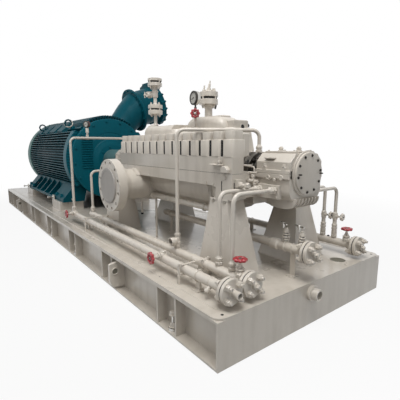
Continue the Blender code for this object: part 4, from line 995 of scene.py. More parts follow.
    # Bracket with a jacking bolt on the joint's near side, and a rounded lug next to it.
    lugs = Shells()
    lugs.block(at(2.668, -0.458, 0.7280), at(2.772, -0.4185, 0.7370))
    lugs.prism([(x, z + deck) for x, z in ((2.676, 0.7285), (2.764, 0.7285), (2.752, 0.700), (2.688, 0.700))], 'Y',
               -0.4270, -0.4185)
    lugs.rings([[at(2.772, y, 0.684), at(2.835, y, 0.684), at(2.835, y, 0.705), at(2.812, y, 0.727), at(2.784, y, 0.727),
                 at(2.772, y, 0.712)] for y in (-0.4185, -0.448)])
    lugs.made("joint_jacking_lugs", "casting", edge=0.004)
    fasteners("joint_jacking_bolts", [(at(2.752, -0.440, 0.737), (0, 0, 1)), (at(2.752, -0.440, 0.749), (0, 0, 1))],
              0.024, "casting", height=0.012, stud=0.020)

    dress_feet_of_casing()
    for word, side, x, radius in (("suction", -1, 1.510, 0.2375), ("discharge", 1, 2.300, 0.200)):
        dress_nozzle(word, side, x, radius, sizes)

    line = Shells()
    y, z = -0.300, nozzle_z - 0.108
    line.rod(at(1.310, y, z + 0.012), at(2.655, y, z), 0.0225, 28)
    line.rod(at(1.418, y, 0.190), at(1.418, y, z), 0.0110, 20)
    line.rod(at(1.418, y, 0.174), at(1.418, y, 0.192), 0.0130, 20, slot=1)
    for x in (1.640, 2.420):
        line.lathe(at(x, y, z + 0.002), (1, 0, 0), [(0, 0.0230), (0.002, 0.0290), (0.020, 0.0290), (0.022, 0.0230)], 32)
    line.made("balance_line", "tube", "dark")


def dress_feet_of_casing():
    """Foot blocks at the free end: keyway slots, jack screws and the bolts down to the pedestals."""
    extra, screws = Shells(), []
    extra.block(at(2.755, -0.4246, 0.562), at(2.764, -0.4200, 0.628), slot=2)
    extra.block(at(2.8560, -0.4080, 0.560), at(2.8578, -0.3990, 0.622), slot=2)
    extra.block(at(2.762, -0.4300, 0.640), at(2.800, -0.4200, 0.6665))
    for x, y0, y1, way, tip, y, z in ((2.700, -0.4240, -0.3750, -1, 2.580, -0.404, 0.600),
                                      (2.858, -0.4020, -0.3520, 1, 2.958, -0.376, 0.610),
                                      (2.612, 0.3690, 0.4210, -1, 2.480, 0.395, 0.600),
                                      (2.816, 0.2760, 0.3240, 1, 2.915, 0.300, 0.610)):
        extra.block(at(min(x, x + way * 0.022), y0, z - 0.016), at(max(x, x + way * 0.022), y1, z + 0.034))
        extra.rod(at(x, y, z), at(tip, y, z), 0.0105, 20, slot=1)
        screws += [(at(x + way * 0.022, y, z), (way, 0, 0)), (at(tip - way * 0.018, y, z), (way, 0, 0))]
    extra.made("foot_jack_blocks", "casting", "tube", "dark", edge=0.002)
    fasteners("foot_jack_nuts", screws, 0.032, "tube", height=0.020)
    # Plates under the feet, on top of the pedestals, with the bolts that hold the feet down.
    plates, bolts = Shells(), []
    for x0, x1 in ((2.640, 2.822), (0.968, 1.152)):
        for side in (-1, 1):
            y0, y1 = sorted((side * 0.285, side * 0.426))
            plates.block(at(x0, y0, 0.4975), at(x1, y1, 0.5095))
            bolts += [(at(x, side * 0.418, 0.4970), (0, 0, -1)) for x in (x0 + 0.035, x1 - 0.035)]
    plates.made("pedestal_head_plates", "plate", edge=0.002)
    fasteners("pedestal_head_nuts", bolts, 0.026, "casting", height=0.016)


def dress_nozzle(word, side, x, radius, sizes):
    r = radius
    profile = [(0, 0.71 * r), (0.060, 0.66 * r), (0.135, 0.62 * r), (0.200, 0.600 * r), (0.300, 0.600 * r),
               (0.330, 0.612 * r), (0.3335, 0.648 * r), (0.3380, 0.662 * r), (0.3860, 0.672 * r), (0.3960, 0.690 * r),
               (0.4017, 0.730 * r), (0.4017, 0.992 * r), (0.4037, r), (0.4770, r), (0.4797, 0.990 * r),
               (0.4797, 0.760 * r), (0.4797, 0)]
    bores = Shells()
    centre = at(x, side * 0.6797, nozzle_z)
    for p in around(centre, (0, side, 0), 0.872 * r, sizes.nozzle_bolts, math.pi / sizes.nozzle_bolts):
        bores.rod(p + Vector((0, side * 0.02, 0)), p - Vector((0, side * 0.062, 0)), sizes.nozzle_bolt, 24)
    Shells().lathe(at(x, side * 0.200, nozzle_z), (0, side, 0), profile, 96).made(
        word + "_nozzle", "casting", cut=bores, smooth=34)
    plugs = Shells()
    for p in around(centre, (0, side, 0), 0.872 * r, sizes.nozzle_bolts, math.pi / sizes.nozzle_bolts):
        plugs.lathe(p - Vector((0, side * 0.060, 0)), (0, side, 0), [(0, sizes.nozzle_bolt * 1.02),
                                                                      (0.034, sizes.nozzle_bolt * 1.02)], 20)
    plugs.made(word + "_bolt_hole_depths", "dark")
    cover = [(0, 0.680 * r), (0.0060, 0.680 * r), (0.0110, 0.672 * r), (0.0120, 0.660 * r), (0.0120, 0.570 * r),
             (0.0100, 0.560 * r), (0.0100, 0)]
    Shells().lathe(at(x, side * 0.680, nozzle_z), (0, side, 0), cover, 96).made(
        word + "_transit_cover", "cover", stands_for=[word + "_cover"], slot="cover_grey", smooth=30)


# Bearings and glands


def dress_bearings(sizes):
    for word, face, way in (("nde", 2.820, 1), ("de", 0.780, -1)):
        def along(u):
            return face + way * u
        x0, x1 = sorted((along(0), along(0.280)))
        low, joint = 0.497, shaft - 0.00015
        body = Shells()
        body.rings([section(x, 0.165, joint, low, 0.080) for x in (x0, x1)])
        body.block(at(x0, -0.177, shaft - 0.030), at(x1, 0.177, joint))
        if word == "nde":
            body.block(at(2.850, -0.185, 0.515), at(3.030, -0.150, 0.605))
            body.block(at(2.830, 0.135, 0.495), at(2.990, 0.185, 0.555))
            body.lathe(at(3.040, -0.172, 0.655), (0, -1, 0.0), [(0, 0.020), (0.010, 0.018)], 6)
        else:
            body.block(at(0.670, -0.185, 0.535), at(0.730, -0.145, 0.605))
        body.made("bearing_housing_" + word, "casting", stands_for=["bearing_body_" + word],
                  slot="painted_white", edge=sizes.edge)
        rib = Shells()
        outline = [(0.055, 0.516), (0.064, 0.486), (0.082, 0.466), (0.105, 0.457), (0.140, 0.452), (0.215, 0.450),
                   (0.245, 0.453), (0.268, 0.461), (0.286, 0.475), (0.297, 0.492), (0.3015, 0.508), (0.302, 0.521),
                   (0.270, 0.523), (0.262, 0.516)]
        rib.prism([(along(u) - face, z) for u, z in outline], 'Y', -0.0050, 0.0050)
        repeated("cooling_ribs_" + word, rib, 8, start=(face, -0.119, deck), step=(0, 0.034, 0))

        cap = Shells()
        joint, top = shaft + 0.00015, 0.805
        cap.rings([section(x, 0.165, joint, top, 0.052, steps=1) for x in (x0, x1)])
        cap.block(at(x0, -0.177, joint), at(x1, 0.177, shaft + 0.025))
        cap.block(at(x0 + 0.020, -0.104, top - 0.016), at(x1 - 0.020, 0.104, top + 0.015))
        for side in (-1, 1):
            y0, y1 = sorted((side * 0.150, side * 0.1768))
            for u in (0.060, 0.215):
                a, b = sorted((along(u), along(u + 0.034)))
                cap.block(at(a, y0, shaft + 0.020), at(b, y1, shaft + 0.046))
        a, b = sorted((along(0.070), along(0.150)))
        cap.block(at(a, -0.1690, 0.770), at(b, -0.1400, 0.7800))
        cap.made("bearing_cap_casting_" + word, "casting", stands_for=["bearing_cap_" + word],
                 slot="painted_white", edge=sizes.edge)
        fasteners("cap_bolts_" + word, [(at(along(u + 0.017), side * 0.165, shaft + 0.046), (0, 0, 1))
                                        for u in (0.060, 0.215) for side in (-1, 1)], 0.020, "casting", seed=7)
        fasteners("lid_screws_" + word, [(at(along(u), y, top + 0.015), (0, 0, 1))
                                         for u in (0.036, 0.140, 0.244) for y in (-0.085, 0.085)], 0.012,
                  "casting", height=0.007)
        plugs = Shells()
        for u in (0.070, 0.215):
            p = at(along(u), 0.0, top + 0.0145)
            plugs.lathe(p, (0, 0, 1), [(0, 0.0200), (0.006, 0.0195), (0.008, 0.0145), (0.012, 0.0140)], 32)
            plugs.hexagon(p + Vector((0, 0, 0.010)), (0, 0, 1), 0.0175, 0.013)
            plugs.lathe(p + Vector((0, 0, 0.022)), (0, 0, 1), [(0, 0.0110), (0.006, 0.0105), (0.008, 0.008)], 24)
        plugs.made("housing_breathers_" + word, "tube")

        # Round cover in its rim, with small dark bolts and two jacking pins.
        start = at(along(0.2803), 0, shaft)
        profile = [(0, 0.1490), (0.0070, 0.1500), (0.0095, 0.1488), (0.0100, 0.1412), (0.0115, 0.1382),
                   (0.0215, 0.1380), (0.0240, 0.1355), (0.0247, 0.1320), (0.0247, 0.0)]
        Shells().lathe(start, (way, 0, 0), profile, 96).made(
            "bearing_end_cover_" + word, "casting", stands_for=["bearing_cover_" + word], slot="painted_white")
        seat = start + Vector((way * 0.0247, 0, 0))
        fasteners("cover_bolts_" + word, [(p, (way, 0, 0)) for p in
                                          around(seat, (1, 0, 0), 0.1175, sizes.cover_bolts, 0.16)], 0.0135,
                  "bolt", height=0.007, seed=4)
        pins = Shells()
        for y in (-0.112, 0.112):
            pins.rod(seat + Vector((0, y, 0.0)), seat + Vector((way * 0.022, y, 0)), 0.0045, 14)
        pins.made("cover_jacking_pins_" + word, "bolt")

    # Oil sight glass and filler on the near side of the free end's housing.
    sight = Shells()
    p = at(2.935, -0.166, 0.652)
    sight.hexagon(p, (0, -1, 0), 0.0220, 0.010)
    sight.lathe(p + Vector((0, -0.009, 0)), (0, -1, 0), [(0, 0.0165), (0.006, 0.0165), (0.007, 0.0150), (0.007, 0.0115),
                                                         (0.0045, 0.0110), (0.0045, 0)], 36)
    p = at(2.985, -0.178, 0.640)
    sight.hexagon(p + Vector((0, 0.010, 0)), (0, -1, 0), 0.012, 0.014)
    for x in (2.868, 3.012):
        for z in (0.530, 0.592):
            sight.hexagon(at(x, -0.1852, z), (0, -1, 0), 0.0075, 0.005)
    sight.made("oil_sight_and_plugs", "tube")


def dress_glands():
    for word, x, way in (("nde", 2.6203, 1), ("de", 0.9797, -1)):
        profile = [(0, 0.1235), (0.001, 0.1250), (0.028, 0.1250), (0.030, 0.1215), (0.044, 0.1215), (0.046, 0.1250),
                   (0.0785, 0.1250), (0.080, 0.1230), (0.080, 0.0935), (0.083, 0.0900), (0.108, 0.0900),
                   (0.110, 0.0880), (0.110, 0.052)]
        Shells().lathe(at(x, 0, shaft), (way, 0, 0), profile, 96).made(
            "gland_" + word, "gland", stands_for=["seal_gland_" + word], slot="machined_steel", smooth=28)
        fasteners("gland_nuts_" + word, [(p, (way, 0, 0)) for p in
                                         around(at(x + way * 0.080, 0, shaft), (1, 0, 0), 0.107, 4, math.pi / 4)],
                  0.022, "bolt", stud=0.010)
        port = Shells()
        for y, z in ((-0.105, 0.066), (0.105, 0.066)):
            out = Vector((0, y, z)).normalized()
            middle_of = at(x + way * 0.062, 0, shaft)
            port.lathe(middle_of + out * 0.110, out, [(0, 0.0190), (0.0155, 0.0190), (0.0170, 0.0175)], 32)
            port.lathe(middle_of + out * 0.120, out, [(0, 0.0135), (0.0074, 0.0135)], 28, slot=1)
        port.made("gland_ports_" + word, "gland", "dark")
        Shells().lathe(at(x + way * 0.112, 0, shaft), (way, 0, 0),
                       [(0, 0.056), (0, 0.0760), (0.014, 0.0760), (0.018, 0.0700), (0.058, 0.0700), (0.060, 0.0860),
                        (0.084, 0.0860), (0.086, 0.0840), (0.086, 0.056)], 64, closed=True).made(
            "shaft_deflector_" + word, "gland")

    # Seal drain valves between the free end's foot and its housing, and the guard over the shaft.
    cluster = Shells()
    x, y, z = 2.850, -0.218, 0.622
    cluster.tube([at(2.716, -0.098, 0.716), at(2.716, -0.205, 0.722), at(2.838, -0.205, 0.715),
                  at(2.838, -0.205, z)], 0.0055, 0.016, 14)
    for px, corner, long in ((x - 0.088, 0.0125, 0.030), (x - 0.052, 0.0155, 0.018), (x - 0.030, 0.0190, 0.034),
                             (x + 0.010, 0.0140, 0.022)):
        cluster.hexagon(at(px, y, z), (1, 0, 0), corner, long)
    cluster.rod(at(x - 0.090, y, z), at(x + 0.030, y, z), 0.0085, 18)
    cluster.lathe(at(x - 0.012, y, z + 0.010), (0, 0, 1),
                  [(0, 0.0110), (0.014, 0.0110), (0.016, 0.0155), (0.030, 0.0155), (0.032, 0.0110), (0.040, 0.0060),
                   (0.052, 0.0060)], 24)
    cluster.rod(at(x - 0.040, y - 0.014, z + 0.056), at(x + 0.018, y + 0.004, z + 0.056), 0.0070, 16)
    cluster.lathe(at(x + 0.010, y - 0.004, z - 0.008), (0.1, -0.2, -1),
                  [(0, 0.0120), (0.014, 0.0120), (0.016, 0.0090), (0.030, 0.0090), (0.032, 0.0140), (0.048, 0.0140),
                   (0.050, 0.0100)], 24)
    cluster.lathe(at(x - 0.012, y - 0.012, z + 0.004), (0, -1, 0), [(0, 0.011), (0.018, 0.010), (0.020, 0.0145),
                                                                   (0.032, 0.0145), (0.034, 0.010)], 24)
    cluster.made("seal_drain_valves", "tube")
    guard = arc_band(Shells(), 2.736, 2.8185, 0.1120, 0.1215, 62, 132)
    guard.made("shaft_guard", "gland", edge=0.001)


# Pipework


def union(shells, end, way, radius=0.0135, slot=0):
    """Compression union on a pipe's end: a nut, its waist and the body behind it."""
    end, d = Vector(end), Vector(way).normalized()
    shells.hexagon(end + d * 0.004, d, radius * 1.90, 0.020, slot)
    shells.lathe(end + d * 0.023, d, [(0, radius * 1.30), (0.006, radius * 1.30)], 28, slot)
    shells.hexagon(end + d * 0.028, d, radius * 1.80, 0.022, slot)
    shells.lathe(end + d * 0.048, d, [(0, radius * 1.45), (0.008, radius * 1.20), (0.014, radius * 1.02)], 28, slot)


def pipe_run(name, node, points, radius, bend=0.05, extra=None):
    run = Shells().tube(points, radius, bend, 22, 8)
    union(run, points[0], Vector(points[1]) - Vector(points[0]), radius)
    union(run, points[-1], Vector(points[-2]) - Vector(points[-1]), radius)
    if extra:
        extra(run)
    run.made(name, "tube", "dark", stands_for=[node], slot="painted_white", smooth=33)


def header_run(name, node, y, start, end, z=header_z, posts=(), extra=None, welds=()):
    """Header pipe with its end flange, gasket, blind flange, four long studs and a centre plug."""
    run = Shells()
    run.rod(at(start, y, z), at(end - 0.010, y, z), 0.0302, 44)
    run.lathe(at(start, y, z), (-1, 0, 0), [(0, 0.0302), (0.012, 0.0270), (0.020, 0.016), (0.022, 0)], 44)
    run.lathe(at(end - 0.075, y, z), (1, 0, 0), [(0, 0.0302), (0.010, 0.0330), (0.050, 0.0460), (0.053, 0.0490),
                                                 (0.053, 0.0738), (0.0545, 0.0750), (0.0705, 0.0750), (0.0720, 0.0738),
                                                 (0.0720, 0.0530), (0.0748, 0.0525)], 72)
    for x in welds:
        run.torus(at(x, y, z), (1, 0, 0), 0.0305, 0.0032, 44, 8)
    for x in posts:
        run.block(at(x - 0.020, y - 0.0045, 0.0005), at(x + 0.020, y + 0.0045, z - 0.020))
        run.block(at(x - 0.032, y - 0.030, 0.0005), at(x + 0.032, y + 0.030, 0.0065))
        run.torus(at(x, y, z), (1, 0, 0), 0.0325, 0.0040, 44, 8)
    if extra:
        extra(run)
    run.made(name, "tube", "dark", stands_for=[node], slot="painted_white", smooth=33)
    blind = Shells()
    face = at(end + 0.0003, y, z)
    blind.lathe(face, (1, 0, 0), [(0, 0.0525), (0.0030, 0.0530), (0.0030, 0.0738), (0.0045, 0.0750), (0.0235, 0.0750),
                                  (0.0250, 0.0738), (0.0250, 0)], 72)
    if node == "flush_header":
        blind.lathe(face + Vector((0.0240, 0, 0)), (1, 0, 0), [(0, 0.0150), (0, 0.0270), (0.006, 0.0262), (0.008, 0.0215),
                                                               (0.058, 0.0215), (0.060, 0.0195), (0.060, 0.0150),
                                                               (0.030, 0.0140)], 40, closed=True)
        blind.lathe(face + Vector((0.0240, 0, 0)), (1, 0, 0), [(0, 0.0148), (0.040, 0.0148)], 32, slot=1)
    else:
        blind.lathe(face + Vector((0.0240, 0, 0)), (1, 0, 0), [(0, 0.0290), (0.004, 0.0280), (0.006, 0.0220),
                                                               (0.026, 0.0220), (0.029, 0.0190)], 40)
        blind.lathe(face + Vector((0.050, 0, 0)), (1, 0, 0), [(0, 0.0145), (0.017, 0.0140), (0.019, 0.0110)], 4)
    blind.made(name + "_blind_flange", "tube", "dark", stands_for=[node + "_blind"], slot="painted_white")
    Shells().lathe(at(end - 0.0031, y, z), (1, 0, 0), [(0, 0.0725), (0.0063, 0.0725)], 56).made(
        name + "_gasket", "gasket")
    spots = around(face + Vector((0.0250, 0, 0)), (1, 0, 0), 0.0550, 4, math.pi / 4)
    back = around(at(end - 0.022, y, z), (1, 0, 0), 0.0590, 4, math.pi / 4)
    fasteners(name + "_stud_nuts", [(p, (1, 0, 0)) for p in spots] + [(p, (-1, 0, 0)) for p in back], 0.0320,
              "tube", height=0.026, stud=0.014, seed=9)


def valve_body(shells, at_point, axis, size=0.030):
    """Small globe valve: a round body, a hexagon bonnet, the packing nut and its neck."""
    c, d = Vector(at_point), Vector(axis).normalized()
    s = size
    shells.lathe(c - d * s, d, [(0, s * 0.70), (s * 0.3, s * 0.88), (s * 1.5, s * 0.90), (s * 1.62, s * 0.86),
                                (s * 1.66, s * 0.60)], 36)
    shells.lathe(c + d * s * 0.64, d, [(0, s * 0.66), (s * 0.14, s * 0.66)], 28, slot=1)
    shells.lathe(c + d * s * 0.76, d, [(0, s * 0.84), (s * 0.06, s * 0.90), (s * 0.34, s * 0.90), (s * 0.40, s * 0.84)], 36)
    shells.hexagon(c + d * s * 1.14, d, s * 0.66, s * 0.36)
    shells.lathe(c + d * s * 1.48, d, [(0, s * 0.50), (s * 0.30, s * 0.46), (s * 0.36, s * 0.32), (s * 0.8, s * 0.30)], 28)


def handwheel(node, axis, radius, word, lobes, thick=0.0102):
    """Cast wheel with a lobed rim, four spokes, a hub and its nut, on its own body."""
    joint = next(j for j in frame["joints"] if j["child"] == node)
    c = Vector(joint["pos_m"])
    d, u, v = frame_of(axis)
    rim = Shells()
    reach = radius - thick
    rim.torus(c, d, reach - 0.0032, thick, 128, 14, lobes=lobes, depth=0.0032)
    for k in range(4):
        t = math.tau * k / 4 + 0.3
        out = u * math.cos(t) + v * math.sin(t)
        side = d.cross(out)
        rings = []
        for share, half, tall, sink in ((0.10, 0.0095, 0.0060, -0.0030), (0.45, 0.0075, 0.0044, -0.0020),
                                        (0.96, 0.0090, 0.0050, 0.0)):
            p = c + out * reach * share + d * sink
            rings.append([p + side * half * math.cos(a) + d * tall * math.sin(a)
                          for a in (math.tau * i / 12 for i in range(12))])
        rim.rings(rings)
    rim.lathe(c - d * 0.0115, d, [(0, 0.0105), (0.003, 0.0120), (0.0145, 0.0115), (0.0160, 0.0100)], 32)
    rim.made(node + "_wheel", word, body=node, stands_for=[node],
             slot="painted_red" if word == "red" else "cover_grey")
    stem = Shells()
    stem.rod(c - d * 0.0340, c + d * 0.0095, 0.0066, 20)
    stem.hexagon(c + d * 0.0040, d, 0.0100, 0.0055)
    stem.made(node + "_stem", "steel", body=node)


def t_handle(node, across):
    joint = next(j for j in frame["joints"] if j["child"] == node)
    c = Vector(joint["pos_m"])
    arm = Vector(across).normalized()
    up = Vector((0, 0, 1))
    made = Shells()
    made.lathe(c - up * 0.0340, up, [(0, 0.0066), (0.024, 0.0066), (0.025, 0.0100), (0.040, 0.0100), (0.042, 0.0080)], 24)
    for way in (-1, 1):
        made.lathe(c, arm * way, [(0, 0.0058), (0.030, 0.0050), (0.040, 0.0060), (0.045, 0.0048)], 20)
    made.made(node + "_bar", "steel", body=node, stands_for=[node], slot="painted_white")


def dress_pipes(sizes):
    housing = -0.1853
    top = header_z + 0.0303
    y = near_y
    header_run("cooling_header_pipe", "cooling_header", y, 0.660, header_end, posts=(1.000, 2.750), extra=lambda run: (
        valve_body(run, at(3.066, y, 0.120), (0, 0, 1)),
        [run.lathe(at(x, y, header_z + 0.020), (0, 0, 1), [(0, 0.0230), (0.009, 0.0220), (0.011, 0.0180)], 32)
         for x in (0.700, 2.420, 2.880, 3.000)]), welds=(1.300, 2.100, 2.620))
    for word, x in (("de", 0.700), ("nde_in", 2.880), ("nde_out", 3.000)):
        pipe_run("cooling_run_" + word, "cooling_pipe_" + word,
                 [at(x, y, top), at(x, y, 0.575), at(x, housing, 0.575)], sizes.tube, 0.055)
    x, high = 2.420, stud_top + 0.0165
    gland = shaft + 0.125 * math.cos(math.pi / 28) + 0.0003

    def open_tee(run):
        run.lathe(at(x, y, 0.130), (0, 0, 1), [(0, 0.0165), (0.006, 0.0240), (0.034, 0.0240), (0.036, 0.0200),
                                               (0.070, 0.0200), (0.078, 0.0165)], 32)
        run.hexagon(at(x, y, 0.212), (0, 0, 1), 0.0225, 0.016)
        run.lathe(at(x, y - 0.012, 0.172), (0, -1, 0),
                  [(0, 0.0205), (0, 0.0235), (0.018, 0.0235), (0.020, 0.0300), (0.048, 0.0310), (0.052, 0.0290),
                   (0.052, 0.0240), (0.020, 0.0205)], 40, closed=True)
        run.lathe(at(x, y - 0.013, 0.172), (0, -1, 0), [(0, 0.0204), (0.026, 0.0204)], 32, slot=1)

    pipe_run("flush_run_nde", "flush_pipe_nde",
             [at(x, y, top), at(x, y, high), at(2.688, 0, high), at(2.688, 0, gland)], sizes.tube, 0.055, open_tee)

    y = outer_y
    header_run("flush_header_pipe", "flush_header", y, 0.520, header_end, posts=(1.000, 2.880), extra=lambda run: (
        valve_body(run, at(0.620, y - 0.020, 0.110), (0, -1, 0)),
        valve_body(run, at(2.480, y - 0.010, 0.110), (0, -1, 0)),
        run.lathe(at(0.550, y, header_z + 0.020), (0, 0, 1), [(0, 0.0230), (0.009, 0.0220), (0.011, 0.0180)], 32),
        run.lathe(at(2.480, y, header_z), (0, 0, 1), [(0, 0.0210), (0.052, 0.0210), (0.055, 0.0180)], 32),
        run.lathe(at(3.010, y - 0.022, 0.070), (0, -0.75, -0.66), [(0, 0.0130), (0.014, 0.0130), (0.016, 0.0165),
                                                                  (0.030, 0.0165), (0.036, 0.0120)], 28)),
        welds=(1.500, 2.200, 2.700, 3.000))
    z = 0.940
    pocket = at(0.550, -0.510, z)
    pipe_run("flush_run_de", "flush_pipe_de",
             [at(0.550, y, top), at(0.550, y, z), at(0.550, 0, z), at(0.916, 0, z), at(0.916, 0, gland)],
             sizes.tube, 0.055,
             lambda run: (run.lathe(pocket, (0, 0, 1), [(0, 0.0130), (0.026, 0.0130), (0.027, 0.0155), (0.0395, 0.0150)], 6),
                          run.lathe(pocket - Vector((0, 0.016, 0)), (0, 1, 0), [(0, 0.0165), (0.032, 0.0165)], 28)))

    y = far_y
    header_run("return_header_pipe", "return_header", y, 1.900, header_end, posts=(2.050, 2.750), extra=lambda run: (
        valve_body(run, at(3.066, y, 0.120), (0, 0, 1)),
        run.lathe(at(2.912, y, 0.112), (0, 0, 1), [(0, 0.0110), (0.012, 0.0110), (0.015, 0.0080)], 6, slot=1)),
        welds=(2.300, 2.600))
    for word, x in (("low", 2.860), ("high", 2.960)):
        def coupling(run, x=x):
            c = at(x, y, top)
            run.lathe(c, (0, 0, 1),
                      [(0, 0.0190), (0.040, 0.0190), (0.041, 0.0215), (0.056, 0.0215), (0.057, 0.0180), (0.066, 0.0180),
                       (0.067, 0.0225), (0.082, 0.0225), (0.083, 0.0180), (0.090, 0.0180), (0.091, 0.0215),
                       (0.108, 0.0215), (0.110, 0.0165), (0.150, 0.0150)], 36)
            run.lathe(at(x, y, 0.262), (0, 0, 1), [(0, 0.0140), (0.006, 0.0195), (0.058, 0.0195), (0.064, 0.0140)], 32)
            valve_body(run, at(x, y, 0.295), (1, 0, 0), 0.018)
        pipe_run("return_run_" + word, "return_pipe_" + word,
                 [at(x, y, top), at(x, y, 0.525), at(x, 0.1853, 0.525)], sizes.tube, 0.050, coupling)

    y, end = drain_y, 3.205

    def drains(run):
        for x in (end - 0.180, end - 0.055):
            for z, wide, tall in ((0.028, 0.0190, 0.014), (0.046, 0.0245, 0.010), (0.062, 0.0255, 0.011),
                                  (0.080, 0.0230, 0.011), (0.096, 0.0190, 0.012)):
                run.lathe(at(x, y, drain_z + z), (0, 0, 1), [(0, wide - 0.001), (0.001, wide), (tall - 0.001, wide),
                                                             (tall, wide - 0.001)], 32)
            run.lathe(at(x, y, drain_z), (0, 0, 1), [(0, 0.0160), (0.100, 0.0150)], 24, slot=1)
            run.lathe(at(x, y, drain_z + 0.100), (0, 0, 1), [(0, 0.0150), (0.014, 0.0140), (0.016, 0.0110),
                                                             (0.028, 0.0105)], 24)
            run.torus(at(x, y, drain_z), (1, 0, 0), 0.0310, 0.0060, 44, 10)
        run.lathe(at(end - 0.300, y, drain_z), (1, 0, 0), [(0, 0.0302), (0.010, 0.0390), (0.060, 0.0390), (0.070, 0.0302)],
                  40)

    header_run("drain_header_pipe", "drain_header", y, 1.520, end, drain_z, posts=(1.620, 3.087), extra=drains)
    # Straps that tie the two near headers to their shared feet.
    straps, bolts = Shells(), []
    for x in (1.000, 2.700):
        straps.block(at(x + 0.030, -0.760, 0.0550), at(x + 0.046, -0.500, 0.0590))
        straps.block(at(x + 0.030, -0.760, 0.1210), at(x + 0.050, -0.500, 0.1250))
        for yy in (-0.752, -0.508):
            straps.block(at(x + 0.030, yy - 0.004, 0.0005), at(x + 0.050, yy + 0.004, 0.1250))
        bolts += [(at(x + 0.040, yy, 0.1250), (0, 0, 1)) for yy in (-0.625, -0.742, -0.520)]
    straps.made("header_straps", "tube", edge=0.001)
    fasteners("strap_bolts", bolts, 0.013, "tube", height=0.008)

    for node, axis, radius, word in (
            ("handwheel_cooling", (0, 0, 1), 0.045, "red"), ("handwheel_return", (0, 0, 1), 0.045, "red"),
            ("handwheel_flush_de", (0, -1, 0), 0.045, "red"), ("handwheel_flush_nde", (0, -1, 0), 0.045, "red"),
            ("handwheel_gauge", (0.55, -0.45, 0), 0.040, "red"), ("handwheel_return_low", (1, 0, 0), 0.032, "tube"),
            ("handwheel_return_high", (1, 0, 0), 0.032, "tube")):
        handwheel(node, axis, radius, word, sizes.wheel_lobes)
    t_handle("handle_drain_inner", (1, -0.5, 0))
    t_handle("handle_drain_outer", (1, -0.3, 0))


# Gauges and vents


def dial_gauge(name, node, foot, stem, radius, case, face):
    """Dial gauge: stem, cased body, bezel, printed card, tick marks, needle and a domed window edge."""
    foot = Vector(foot)
    up = Vector((0, 0, 1))
    face = Vector(face).normalized()
    side = up.cross(face)
    middle_of = foot + up * (stem + radius * 0.8) - face * 0.020
    body = Shells()
    body.hexagon(foot, up, 0.0110, 0.014, slot=1)
    body.rod(foot + up * 0.013, foot + up * stem, 0.0072, 20, slot=1)
    body.lathe(middle_of, face, [(0, radius - 0.006), (0.004, radius - 0.0015), (0.029, radius - 0.0015)], 72)
    body.lathe(middle_of + face * 0.0285, face, [(0, radius), (0.0130, radius), (0.0155, radius - 0.003),
                                                 (0.0155, radius * 0.82), (0.0105, radius * 0.80), (0.0105, 0)], 72,
               slot=1)
    body.lathe(middle_of + face * 0.0388, face, [(0, radius * 0.79), (0.0008, radius * 0.79)], 64, slot=2)
    card = middle_of + face * 0.0397
    for k in range(31):
        t = math.radians(225 - 9 * k)
        out = side * math.cos(t) + up * math.sin(t)
        long = 0.16 if k % 5 == 0 else 0.09
        body.rod(card + out * (radius * 0.74), card + out * (radius * (0.74 - long)), 0.0007 if k % 5 else 0.0011,
                 6, slot=3)
    t = math.radians(200)
    out = side * math.cos(t) + up * math.sin(t)
    body.lathe(card - out * radius * 0.2 + face * 0.0012, out, [(0, 0.0022), (radius * 0.75, 0.0012),
                                                              (radius * 0.88, 0.0003)], 8, slot=3)
    body.lathe(card, face, [(0, 0.0045), (0.0025, 0.0040)], 20, slot=3)
    body.made(name, case, "bolt", "dial", "ink", stands_for=[node], slot="machined_steel")


def dress_gauges():
    dial_gauge("casing_pressure_gauge", "pressure_gauge", at(2.180, -0.2007, 1.1446), 0.040, 0.055, "steel",
               (-0.10, -0.99, 0))
    dial_gauge("flush_pressure_gauge", "flush_gauge", at(0.550, -0.510, 0.9803), 0.084, 0.036, "rubber",
               (0.55, -0.83, 0))
    snubber = Shells()
    snubber.lathe(at(0.550, -0.510, 0.985), (0, 0, 1), [(0, 0.0125), (0.010, 0.0130), (0.014, 0.0175), (0.062, 0.0175), (0.070, 0.0130)], 28)
    snubber.made("flush_gauge_snubber", "tube")
    c = at(2.180, -0.2007, 1.0043)
    needle = Shells()
    d = Vector((0.55, -0.45, 0)).normalized()
    needle.hexagon(c, (0, 0, 1), 0.0165, 0.016)
    needle.rod(c + Vector((0, 0, 0.010)), c + Vector((0, 0, 0.130)), 0.0100, 24)
    needle.hexagon(c + Vector((0, 0, 0.122)), (0, 0, 1), 0.0145, 0.018)
    needle.block(c + Vector((-0.019, -0.019, 0.068)), c + Vector((0.019, 0.019, 0.118)))
    needle.lathe(c + Vector((0, 0, 0.094)) - d * 0.020, d, [(0, 0.0150), (0.042, 0.0150), (0.044, 0.0120),
                                                            (0.066, 0.0110)], 24)
    needle.hexagon(c + Vector((0, 0, 0.094)) + d * 0.024, d, 0.0155, 0.012)
    needle.made("gauge_needle_valve", "tube", stands_for=["gauge_valve"], slot="painted_white", edge=0.0008)


def flange_pair(shells, bottom, radius, first, gap_at, gap_high, last, nuts, count, across, capped=False):
    """Two facing flanges with the black joint between them, and where their stud nuts sit."""
    up = Vector((0, 0, 1))
    for low, high in ((first, gap_at), (gap_high, last)):
        shells.lathe(bottom + up * low, up, [(0, radius - 0.002), (0.002, radius), (high - low - 0.002, radius),
                                             (high - low, radius - 0.002)], 48)
    shells.lathe(bottom + up * (gap_at - 0.001), up, [(0, radius * 0.90), (gap_high - gap_at + 0.002, radius * 0.90)],
                 40, slot=1)
    for p in around(bottom, up, radius * 0.78, count, 0.2):
        nuts += [(p + up * first, -up)] + ([] if capped else [(p + up * last, up)])
        out = (p - bottom).normalized() * radius * 0.13
        shells.rod(p + out + up * (gap_at - 0.001), p + out + up * (gap_high + 0.001), across * 0.3, 10)


